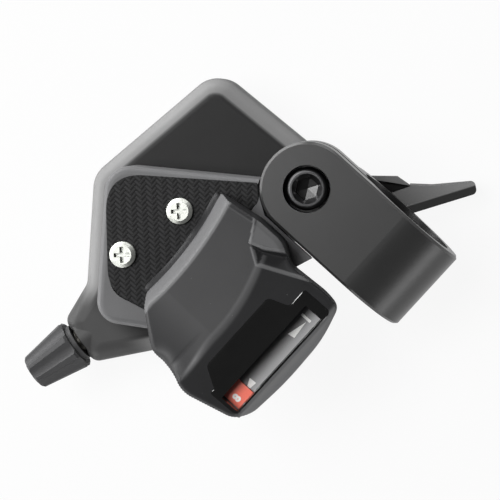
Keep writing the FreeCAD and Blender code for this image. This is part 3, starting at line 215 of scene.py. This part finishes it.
MM = 0.001
PANEL_CORNERS = [(-5.9, 25.7), (-25.0, 49.8), (-42.2, 33.6), (-39.7, 24.2), (-11.6, 23.0), (-8.3, 23.2)]
PANEL_ROUNDS = (0.5, 8.0, 4.4, 1.0, 1.0, 1.0)


def rounded(corners, reach, count):
    """A closed outline of evenly spaced points. Each corner is a parabola that starts a reach before it."""
    corner = np.array(corners, float)
    before = np.roll(corner, 1, 0) - corner
    after = np.roll(corner, -1, 0) - corner
    length_before = np.linalg.norm(before, axis=1)
    length_after = np.linalg.norm(after, axis=1)
    reach = np.minimum(np.broadcast_to(reach, len(corner)), 0.45 * np.minimum(length_before, length_after))
    first = corner + before * (reach / length_before)[:, None]
    last = corner + after * (reach / length_after)[:, None]
    t = np.linspace(0.0, 1.0, 25)[:, None, None]
    bends = (1 - t) ** 2 * first + 2 * t * (1 - t) * corner + t ** 2 * last
    path = bends.transpose(1, 0, 2).reshape(-1, 2)
    path = np.concatenate((path, path[:1]))
    length = np.concatenate(([0.0], np.cumsum(np.linalg.norm(np.diff(path, axis=0), axis=1))))
    even = np.linspace(0.0, length[-1], count, endpoint=False)
    return np.stack([np.interp(even, length, path[:, axis]) for axis in (0, 1)], -1)


def ring_faces(rows, count, closed=False):
    """Quads of a grid whose rows run round in rings. A closed grid joins its last row to its first."""
    row, column = np.meshgrid(np.arange(rows if closed else rows - 1), np.arange(count), indexing="ij")
    following = (row + 1) % rows
    beside = (column + 1) % count
    return np.stack((row * count + column, row * count + beside, following * count + beside,
                     following * count + column), -1).reshape(-1, 4)


def capped_faces(rows, count):
    """The quads of a grid of rings, with a flat face across its first ring and one across its last."""
    first = np.arange(count)[::-1].tolist()
    last = np.arange((rows - 1) * count, rows * count).tolist()
    return ring_faces(rows, count).tolist() + [first, last]


def new_piece(name, points, faces, material, smooth=True):
    """A mesh object from an array of points in millimetres and a list of faces."""
    mesh = bpy.data.meshes.new(name)
    mesh.from_pydata((points.reshape(-1, 3) * MM).tolist(), [], faces)
    mesh.polygons.foreach_set("use_smooth", np.full(len(mesh.polygons), smooth))
    mesh.materials.append(material)
    piece = bpy.data.objects.new(name, mesh)
    bpy.context.scene.collection.objects.link(piece)
    return piece


count = 300
panel_foot, panel_edge, panel_top, panel_bevel = 9.9, 10.06, 10.14, 0.2
rim = rounded(PANEL_CORNERS, PANEL_ROUNDS, count)
middle = rim.mean(0)
spoke = rim - middle
inner = middle + spoke * (1.0 - panel_bevel / np.linalg.norm(spoke, axis=1))[:, None]
levels = np.broadcast_to(np.array((panel_foot, panel_edge, panel_top))[:, None, None], (3, count, 1))
points = np.concatenate((np.stack((rim, rim, inner)), levels), -1)
bundle = 0.00075
feed, place = new_finish("panel_weave", Specular_IOR_Level=0.06)
warp_count = place.axis("X") * (1.0 / bundle)
weft_count = place.axis("Y") * (1.0 / bundle)
on_top = ((warp_count.maths("FLOOR") - weft_count.maths("FLOOR")) * 0.25).maths("FRACT") < 0.5
warp = (warp_count.maths("FRACT") * math.pi).maths("SINE")
weft = (weft_count.maths("FRACT") * math.pi).maths("SINE")
bundles = on_top * warp + (1.0 - on_top) * weft
shade = bundles * (0.35 + 0.65 * on_top)
weave = feed(Base_Color=shade.mix((0.007, 0.007, 0.0072), (0.02, 0.02, 0.0205)),
             Roughness=bundles * -0.15 + 0.55, Normal=bundles.bump(0.000028))
panel = new_piece("weave_panel", points, capped_faces(3, count), weave, False)
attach(panel, "housing")
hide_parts("trim_panel")

# Cover screws: two pan-head steel screws with a cross recess, plated in bright zinc.
# They go through the panel and the cover into two posts of the base.

paint(plated("screw_zinc", (0.45, 0.46, 0.43), 0.5, 0.0015), "cover_screws")

# Clamp: a forged aluminium ring with a slit lug, black anodised over a fine blasted grain.
# A black socket screw in a counterbore draws the lug closed on a brass insert in the housing.

paint(moulded("clamp_black", (0.02, 0.02, 0.02), 0.34, 0.00022, 0.000008, Specular_IOR_Level=0.3),
      "clamp_band")
bolt_low, bolt_high = np.array(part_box("clamp_bolt")) / MM
head = (bolt_high[0] - bolt_low[0]) / 2.0
shank, point_bevel, head_height, rim_round = 2.5, 0.4, 3.6, 0.9
mouth, flat, chamfer, key_depth, tip = 3.0, 2.05, 0.45, 2.4, 0.55


def socket_screw(turn, foot, top):
    """A profile carried round the screw's axis: shank, head and round rim, then a mouth with six flats.
    A flat's radius is its distance over the cosine of the angle from its middle."""
    bend = np.linspace(0.0, math.pi / 2.0, 9)
    radius = np.concatenate(([0.02, shank - point_bevel, shank, shank, head],
                             head + rim_round * (np.cos(bend) - 1.0), [mouth]))
    height = np.concatenate(([foot, foot, foot + point_bevel, top - head_height, top - head_height],
                             top + rim_round * (np.sin(bend) - 1.0),
                             [top, top - chamfer, top - key_depth, top - key_depth - tip]))
    six = flat / np.cos((turn + math.pi / 6.0) % (math.pi / 3.0) - math.pi / 6.0)
    radius = np.concatenate((radius[:, None] * np.ones_like(turn),
                             six * np.array((1.0, 1.0, 0.01))[:, None]))
    height = height[:, None] * np.ones_like(turn)
    return np.stack((radius * np.cos(turn), radius * np.sin(turn), height), -1)


count = 240
turn = np.linspace(0.0, 2.0 * math.pi, count, endpoint=False)
points = socket_screw(turn, bolt_low[2], bolt_high[2])
points[..., :2] += (bolt_low[:2] + bolt_high[:2]) / 2.0
feed, place = new_finish("bolt_black", Metallic=1.0)
smudge = place.noise(0.0008, 3.0)
# Painted highlight: the head is painted a little lighter below its top face, down the rim and into the
# socket.
socket_highlight = place.axis("Z").step((bolt_high[2] - 0.2) * MM, (bolt_high[2] - 0.6) * MM)
bolt_black = feed(Base_Color=socket_highlight.mix((0.04, 0.04, 0.041), (0.05, 0.05, 0.05)),
                  Roughness=smudge * 0.2 + 0.22)
screw = new_piece("socket_screw", points, capped_faces(len(points), count), bolt_black, False)
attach(screw, "housing")
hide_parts("clamp_bolt")
paint(plated("brass", (0.16, 0.13, 0.08), 0.45, 0.002), "clamp_insert")

# Indicator housing: the pod over the bar, moulded in black nylon and fixed on the cover.
# It has a sloped roof, a crease, a face for the gear window, and softly round edges, painted a lighter grey
# as a highlight.
# Its right shoulder has a small raised triangle beside a notch.

POD_CORNERS = [(-12.2, 30.2), (-10.4, 20.1), (-10.4, 14.0), (-13.0, 9.8), (-12.4, 1.0), (-13.0, -2.6),
               (-20.0, -4.6), (-31.0, -5.0), (-40.2, -4.2), (-43.2, -2.0), (-45.7, 8.6), (-44.4, 12.4),
               (-44.5, 18.6), (-36.9, 28.0), (-28.6, 27.6), (-20.5, 28.4)]
POD_ROUNDS = (1.6, 1.2, 1.6, 1.6, 2.0, 1.6, 5.0, 5.0, 4.0, 2.0, 2.4, 1.6, 2.0, 1.4, 4.0, 4.0)
POD_MIDDLE = np.array((-28.0, 13.0))
POD_HIGHEST = 19.75
SILL_Y, SILL_Z, SILL_RISE, SILL_SOFT, FACE_RISE = -2.6, 16.4, 1.07, 0.7, 3.4 / 17.4
CREASE_X, CREASE_Y, CREASE_BOW, CREASE_SOFT, ROOF_FALL = -32.0, 11.5, 0.0125, 0.25, 0.13
SHOULDER_X, SHOULDER_Y, SHOULDER_RUN, SHOULDER_FALL = -33.0, 9.0, 5.0, 0.022
FRONT_LEFT, FRONT_RIGHT, FRONT_BOW, FRONT_SOFT = -36.9, -12.2, 0.0075, 2.2
FRONT_X, FRONT_Y, FRONT_Z, FRONT_SKEW, FRONT_FALL = -12.0, 27.7, 17.8, 0.0887, 3.25
DENT_X, DENT_Y, DENT_WIDTH, DENT_LENGTH, DENT_DEPTH = -44.8, 16.2, 1.6, 2.0, 1.8
PAD_TIP, PAD_FRONT, PAD_REAR, PAD_LIFT = (-14.7, 18.4), (-11.2, 20.3), (-11.5, 12.6), 0.35
PAD_FRONT_FALL, PAD_REAR_FALL = 0.6, 1.8
NOTCH_TIP, NOTCH_END, NOTCH_DEPTH = (-16.9, 14.8), (-14.6, 9.8), 3.0
NOTCH_ROOF_FALL, NOTCH_FACE_FALL, NOTCH_PAD_FALL = 1.3, 0.75, 2.0
PANE_MIDDLE = np.array((-29.1, 3.0))
PANE_HALF = np.array((12.3, 2.1))
PANE_ROOM = 0.4


def soft_min(first, second, width):
    """The lower of two heights, blended where they are within the width of each other."""
    overlap = np.maximum(width - np.abs(first - second), 0.0) / width
    return np.minimum(first, second) - overlap ** 2 * width / 4.0


def past(x, y, start, end):
    """How far a place lies to the left of the line from a start to an end."""
    run = np.subtract(end, start)
    return ((y - start[1]) * run[0] - (x - start[0]) * run[1]) / np.hypot(*run)


def front_height(x, y):
    """The steep slope above the panel: a plane that falls forward, with its ridge bowed back."""
    bow = FRONT_BOW * np.clip((x - FRONT_LEFT) * (FRONT_RIGHT - x), 0.0, None)
    ridge = FRONT_Y + FRONT_SKEW * (x - FRONT_X) - bow
    return FRONT_Z - FRONT_FALL * (y - ridge)


def pod_height(x, y):
    """The pod's top: the lowest of its roof, window face, sill slope and front slope.
    A round dent is taken off it, then the notch off its right shoulder, and the triangle is laid on."""
    face = SILL_Z + FACE_RISE * (y - SILL_Y)
    crease = CREASE_Y + CREASE_BOW * (x - CREASE_X) ** 2
    beside = np.clip((y - SHOULDER_Y) / SHOULDER_RUN, 0.0, 1.0) * np.maximum(SHOULDER_X - x, 0.0) ** 2
    roof = SILL_Z + FACE_RISE * (crease - SILL_Y) - ROOF_FALL * (y - crease) - SHOULDER_FALL * beside
    sill = SILL_Z + SILL_RISE * (y - SILL_Y)
    top = soft_min(soft_min(roof, face, CREASE_SOFT), sill, SILL_SOFT)
    top = soft_min(top, front_height(x, y), FRONT_SOFT)
    from_dent = ((x - DENT_X) / DENT_WIDTH) ** 2 + ((y - DENT_Y) / DENT_LENGTH) ** 2
    top = top - DENT_DEPTH * np.exp(-from_dent)
    beside_roof = -past(x, y, NOTCH_TIP, PAD_TIP)
    beside_face = -past(x, y, NOTCH_END, NOTCH_TIP)
    before_pad = past(x, y, PAD_TIP, PAD_FRONT)
    behind_pad = past(x, y, PAD_REAR, PAD_TIP)
    slopes = (NOTCH_ROOF_FALL * beside_roof, NOTCH_FACE_FALL * beside_face, NOTCH_PAD_FALL * behind_pad)
    notch = np.clip(np.minimum.reduce(slopes), 0.0, NOTCH_DEPTH)
    pad = PAD_LIFT - PAD_FRONT_FALL * np.maximum(before_pad, 0.0)
    pad = pad - PAD_REAR_FALL * np.maximum(behind_pad, 0.0)
    return np.minimum(top + np.maximum(-notch, pad), POD_HIGHEST)


count = 420
wall_rows = 11
edge_round = 1.1
cover_edge_y, on_cover_z, over_bar_z = 12.4, 10.05, 11.8
rim = rounded(POD_CORNERS, POD_ROUNDS, count)
spoke = rim - POD_MIDDLE
share = 1.0 - np.linspace(1.0, 0.0, 110) ** 1.5
share = np.concatenate(([0.004], share[1:]))
x, y = np.moveaxis(POD_MIDDLE + spoke * share[:, None, None], -1, 0)
edge_gap = np.hypot(x[..., None] - rim[::2, 0], y[..., None] - rim[::2, 1]).min(-1)
inset = np.clip(edge_round - edge_gap, 0.0, edge_round)
z = pod_height(x, y) - (edge_round - np.sqrt(edge_round ** 2 - inset ** 2))
foot = np.where(rim[:, 1] > cover_edge_y, on_cover_z, over_bar_z)
drop = np.linspace(0.0, 1.0, wall_rows + 1)[1:, None]
wall = np.concatenate((np.broadcast_to(rim, (wall_rows, count, 2)),
                       (z[-1] + (foot - z[-1]) * drop)[..., None]), -1)
lip = POD_MIDDLE + spoke * np.array((0.93, 0.86))[:, None, None]
lip = np.concatenate((lip, np.broadcast_to(foot[:, None], (2, count, 1))), -1)
points = np.concatenate((np.stack((x, y, z), -1), wall, lip))
faces = ring_faces(len(points), count)
centre = points.reshape(-1, 3)[faces].mean(1)
up_face = (centre[:, 1] - SILL_Y) * math.hypot(1.0, FACE_RISE)
from_pane = np.abs(np.stack((centre[:, 0], up_face), -1) - PANE_MIDDLE)
in_hole = (from_pane < PANE_HALF + PANE_ROOM).all(-1) & (centre[:, 2] > SILL_Z - 0.5)
crown = np.arange(count)[::-1].tolist()

# A painted highlight, a lighter grey, lies where the top is convex, on the front slope, on the triangle and
# on the sill; on the edges and the slope it fades out at the left end.
reach = 0.5
around = [pod_height(x + reach, y), pod_height(x - reach, y),
          pod_height(x, y + reach), pod_height(x, y - reach)]
highlight_share = np.clip((pod_height(x, y) - np.mean(around, 0)) / 0.05, 0.0, 0.6)
highlight_share = np.maximum(highlight_share, 0.6 * np.clip(18.6 - front_height(x, y), 0.0, 1.0))
highlight_share = highlight_share * np.clip((x + 44.0) / 5.0, 0.0, 1.0)
on_pad = np.minimum(past(x, y, PAD_FRONT, PAD_TIP), past(x, y, PAD_TIP, PAD_REAR))
highlight_share = np.maximum(highlight_share, 0.45 * np.clip(on_pad / 0.3, 0.0, 1.0))
highlight_share = np.maximum(highlight_share, 0.8 * np.clip((SILL_Y + 0.4 - y) / 0.6, 0.0, 1.0))
painted_highlight = np.concatenate((highlight_share, np.zeros((len(points) - len(highlight_share), count))))
feed, place = new_finish("pod_grey", Specular_IOR_Level=0.12)
fine = place.noise(0.00024, 3.0)
clouds = place.noise(0.011)
speck = place.node("TexVoronoi", {}, {"Vector": place, "Scale": 420.0}, "Distance") < 0.03
# The painted highlight, kept in the piece's attribute, mixes the grey towards a lighter grey.
highlight_fac = place.node("Attribute", {"attribute_name": "painted_highlight"}, {}, "Fac")
grey = (clouds * 0.7 + fine * 0.3).mix((0.013, 0.013, 0.0135), (0.023, 0.023, 0.024))
grey = highlight_fac.mix(grey, (0.13, 0.13, 0.132))
pod_grey = feed(Base_Color=speck.mix(grey, (0.12, 0.12, 0.12)), Roughness=fine * 0.16 + 0.36,
                Normal=fine.bump(0.000012))
pod = new_piece("pod_shell", points, faces[~in_hole].tolist() + [crown], pod_grey)
pod.data.attributes.new("painted_highlight", "FLOAT", "POINT").data.foreach_set("value", painted_highlight.ravel())
shell = pod.modifiers.new("wall", "SOLIDIFY")
shell.thickness = 0.8 * MM
shell.offset = -1.0
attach(pod, "housing")
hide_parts("indicator_housing")
paint(pod_grey, "indicator_floor")

# Indicator fascia and window: a polished black plastic plate let into the pod's sloped face.
# A clear moulded pane fills the slot in it, over the dial.

LENS_CORNERS = [(-42.2, 0.5), (-14.4, 0.5), (-14.4, 7.4), (-18.9, 7.4), (-20.4, 11.7), (-38.4, 11.7),
                (-41.0, 7.4), (-42.2, 7.4)]
LENS_ROUNDS = (1.2, 1.2, 0.7, 0.9, 0.9, 0.9, 0.9, 0.7)
lens_back, lens_edge, lens_front, lens_bevel = -1.1, 0.02, 0.06, 0.4


def on_face(plan, lift):
    """Places on the window face from their x and distance up the slope, raised by a lift along its normal."""
    run = math.hypot(1.0, FACE_RISE)
    lift = np.broadcast_to(lift, plan.shape[:-1])
    return np.stack((plan[..., 0], SILL_Y + (plan[..., 1] - FACE_RISE * lift) / run,
                     SILL_Z + (FACE_RISE * plan[..., 1] + lift) / run), -1)


count = 480
rim = rounded(LENS_CORNERS, LENS_ROUNDS, count)
spoke = rim - PANE_MIDDLE
hole = PANE_MIDDLE + spoke * np.min(PANE_HALF / np.maximum(np.abs(spoke), 1e-6), axis=1)[:, None]
inner = PANE_MIDDLE + spoke * (1.0 - lens_bevel / np.linalg.norm(spoke, axis=1))[:, None]
points = np.stack((on_face(rim, lens_back), on_face(rim, lens_edge), on_face(inner, lens_front),
                   on_face(hole, lens_front), on_face(hole, lens_back)))
feed, place = new_finish("fascia_black", Coat_Weight=0.4, Coat_Roughness=0.03)
gloss_black = feed(Base_Color=place.noise(0.006).mix((0.004, 0.004, 0.004), (0.007, 0.007, 0.007)),
                   Roughness=place.noise(0.002) * 0.08 + 0.12)
plate = new_piece("lens_plate", points, ring_faces(5, count, True).tolist(), gloss_black, False)
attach(plate, "housing")
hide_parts("indicator_fascia")
feed, place = new_finish("window_clear", Alpha=0.06, IOR=1.49)
paint(feed(Base_Color=place.noise(0.01).mix((0.02, 0.02, 0.02), (0.03, 0.03, 0.03)),
           Roughness=place.noise(0.004) * 0.04 + 0.03), "indicator_window")

# Gear dial and pointer: a printed plastic strip fixed on the pod's floor, whose colour fades from grey at the
# rear to black at the front as painted shade under the window's front edge.
# It has the first gear's number and two wedges. The red moulded flag that rides over it has the last number.

dial_grey_y, dial_black_y = -0.0022, 0.003
print_z, flag_print_z = 13.14, 13.9
capital_share, thicker = 0.7, 0.12
feed, place = new_finish("dial_grey")
# Painted shade: the dial's colour falls from grey at the rear to black at the front.
across = place.axis("Y").step(dial_grey_y, dial_black_y)
paint(feed(Base_Color=across.mix((0.36, 0.36, 0.365), (0.018, 0.018, 0.018)),
           Roughness=place.noise(0.0004) * 0.2 + 0.4), "indicator_dial")
paint(moulded("pointer_red", (0.9, 0.16, 0.1), 0.5, 0.0003, 0.00001), "indicator_pointer")
white = moulded("print_white", (0.82, 0.82, 0.8), 0.5, 0.0003, 0.000002)


def number(name, text, place, height, body):
    """A flat printed numeral, made a mesh and then laid at its place in millimetres."""
    curve = bpy.data.curves.new(name, "FONT")
    curve.body = text
    curve.size = height * MM / capital_share
    curve.offset = thicker * MM
    curve.align_x = "CENTER"
    holder = bpy.data.objects.new(name, curve)
    bpy.context.scene.collection.objects.link(holder)
    bpy.context.view_layer.update()
    mesh = bpy.data.meshes.new_from_object(holder.evaluated_get(bpy.context.evaluated_depsgraph_get()))
    bpy.data.objects.remove(holder)
    mesh.transform(Matrix.Translation(Vector(place) * MM))
    mesh.materials.clear()
    mesh.materials.append(white)
    piece = bpy.data.objects.new(name, mesh)
    bpy.context.scene.collection.objects.link(piece)
    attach(piece, body)


def wedge(name, corners, level, body):
    """A flat printed wedge from its corners in plan, at a level in millimetres."""
    points = np.concatenate((corners, np.full((3, 1), level)), 1)
    piece = new_piece(name, points, [(0, 1, 2)], white, False)
    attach(piece, body)


number("number_first", "1", (-19.0, -0.4, print_z), 2.2, "housing")
number("number_last", "8", (-40.0, -0.6, flag_print_z), 1.6, "pointer")
wedge("wedge_first", [(-23.8, 1.2), (-23.5, -0.3), (-19.6, 0.1)], print_z, "housing")
wedge("wedge_last", [(-38.3, -0.4), (-35.3, -0.7), (-35.4, 0.9)], print_z, "housing")

# Indicator wire: drawn spring steel, wound on the drum's rim and fixed to the pointer's block.
# It rises through a channel in the housing, bends at the display and runs along it.
# The run along the display gets shorter as the drum draws the pointer in.

wire_radius = 0.35
wire_start = np.array((-10.42, 30.21, -5.2))
wire_corner = np.array((-16.6, 11.3, 14.0))
wire_end = np.array((-37.0, 11.3, 14.0))


def rod(start, end):
    """A circle carried along a straight line, with its last rings drawn in to a half ball past the end."""
    length = np.linalg.norm(end - start)
    along = (end - start) / length
    side = np.cross(along, (0.0, 1.0, 0.0))
    side = side / np.linalg.norm(side)
    turn = np.linspace(0.0, 2.0 * math.pi, 24, endpoint=False)[:, None]
    circle = np.cos(turn) * side + np.sin(turn) * np.cross(along, side)
    bend = np.linspace(0.0, 1.5, 7)
    size = np.concatenate(([1.0], np.cos(bend)))[:, None, None] * wire_radius
    travel = np.concatenate(([0.0], length + wire_radius * np.sin(bend)))[:, None, None]
    return start + along * travel + circle * size


def wire_piece(name, start, end):
    """One straight run of the wire, closed at both ends."""
    points = rod(start, end)
    piece = new_piece(name, points, capped_faces(*points.shape[:2]), spring_steel)
    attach(piece, "housing")
    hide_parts("indicator_wire")
    return piece


wire_piece("wire_rise", wire_start, wire_corner)
wire_run = wire_piece("wire_run", wire_end, wire_corner - (wire_radius, 0.0, 0.0))
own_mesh(wire_run)

# Levers: glass-filled nylon, moulded with the housing's grain and held on the axle under the base plate.
# The long one winds the drum under the thumb, and the short one releases it.
# Their flat tops are painted lighter than their slopes, as a painted highlight.

lever_top, light_start, light_full = -0.0144, 0.0004, 0.00005
feed, place = new_finish("lever_black", Specular_IOR_Level=0.08)
fine = place.noise(0.0003, 3.0)
# Painted highlight: the colour turns a lighter grey near the height of the levers' flat tops.
highlight_fac = place.axis("Z").step(lever_top - light_start, lever_top - light_full)
paint(feed(Base_Color=highlight_fac.mix(fine.mix((0.009, 0.009, 0.009), (0.014, 0.014, 0.014)),
                                 fine.mix((0.12, 0.12, 0.12), (0.16, 0.16, 0.16))),
           Roughness=fine * 0.16 + 0.36, Normal=fine.bump(0.00001)), "thumb_lever", "release_lever")

# Barrel adjuster: a fluted knob moulded in black nylon, pressed on a blackened brass stem.
# A small blackened coil in the boss keeps it from turning by itself.

paint(moulded("barrel_black", (0.04, 0.04, 0.041), 0.5, 0.0003, 0.00002, Specular_IOR_Level=0.12),
      "barrel_adjuster")
paint(plated("brass_black", (0.05, 0.048, 0.044), 0.42, 0.002), "adjuster_stem", "adjuster_spring")

# Studio: a round white cove under and about the object, with a rim that bends up.
# Soft boxes stand low round its sides, and one hangs above.
# The camera looks down at the object from the photograph's side.

count = 96
floor_z = cad_box[0][2] / MM - 0.5
cove_flat, cove_bend = 1100.0, 300.0
turn = np.linspace(0.0, 2.0 * math.pi, count, endpoint=False)
bend = np.linspace(0.0, math.pi / 2.0, 17)
radius = np.concatenate(([20.0, 400.0, 800.0], cove_flat + cove_bend * np.sin(bend)))[:, None]
height = np.concatenate(([0.0, 0.0, 0.0], cove_bend - cove_bend * np.cos(bend)))[:, None] + floor_z
points = np.stack((radius * np.cos(turn), radius * np.sin(turn), height * np.ones(count)), -1)
faces = ring_faces(len(points), count)[:, ::-1].tolist() + [np.arange(count).tolist()]
material = bpy.data.materials.new("studio_white")
material.use_nodes = True
tree = material.node_tree
shader = tree.nodes["Principled BSDF"]
shader.inputs["Base Color"].default_value = (0.5, 0.5, 0.5, 1.0)
shader.inputs["Roughness"].default_value = 0.9
ray = tree.nodes.new("ShaderNodeLightPath")
seen = Socket(tree, ray.outputs["Is Camera Ray"]) + Socket(tree, ray.outputs["Is Glossy Ray"])
seen = seen + Socket(tree, ray.outputs["Is Transmission Ray"])
glow = seen.node("Emission", {}, {"Color": (1.0, 1.0, 1.0, 1.0), "Strength": 1.0})
blend = seen.node("MixShader", {}, {0: seen * 0.9, 1: Socket(tree, shader.outputs[0]), 2: glow})
tree.links.new(blend.out, tree.nodes["Material Output"].inputs["Surface"])
cove = new_piece("studio_cove", points, faces, material)


def softbox(name, place, size, strength):
    """A rectangular lamp that faces the object. Its power is its strength times pi times its area."""
    lamp = bpy.data.lights.new(name, "AREA")
    lamp.shape = "RECTANGLE"
    lamp.size, lamp.size_y = size
    lamp.energy = strength * math.pi * size[0] * size[1]
    holder = bpy.data.objects.new(name, lamp)
    holder.location = place
    holder.rotation_euler = (-Vector(place)).to_track_quat("-Z", "Y").to_euler()
    holder.visible_camera = False
    bpy.context.scene.collection.objects.link(holder)


softbox("front_box", (0.1, 0.7, 0.07), (0.8, 0.22), 16.0)
softbox("corner_box", (-0.52, 0.52, 0.07), (0.6, 0.22), 14.0)
softbox("left_box", (-0.72, -0.15, 0.05), (0.6, 0.16), 10.0)
softbox("right_box", (0.75, 0.3, 0.1), (0.5, 0.3), 6.0)
softbox("rear_box", (0.0, -0.75, 0.06), (0.9, 0.3), 5.0)
softbox("high_box", (-0.12, 0.36, 0.85), (0.5, 0.4), 16.0)
world = bpy.data.worlds.new("studio")
world.use_nodes = True
world.node_tree.nodes["Background"].inputs["Color"].default_value = (0.08, 0.08, 0.08, 1.0)
bpy.context.scene.world = world

eye = Vector((0.031547, 0.005727, 0.4074))
aim = Vector((-0.017989, 0.018216, 0.0009))
ahead = (aim - eye).normalized()
right = Vector((0.674, -0.7387, 0.0))
right = (right - ahead * ahead.dot(right)).normalized()
camera = bpy.data.cameras.new("camera")
camera.lens = 145.1
camera.sensor_width = 36.0
camera.clip_start = 0.01
holder = bpy.data.objects.new("camera", camera)
holder.matrix_world = (Matrix.Translation(eye)
                       @ Matrix((right, right.cross(ahead), -ahead)).transposed().to_4x4())
bpy.context.scene.collection.objects.link(holder)
bpy.context.scene.camera = holder
bpy.context.scene.view_settings.view_transform = "Standard"
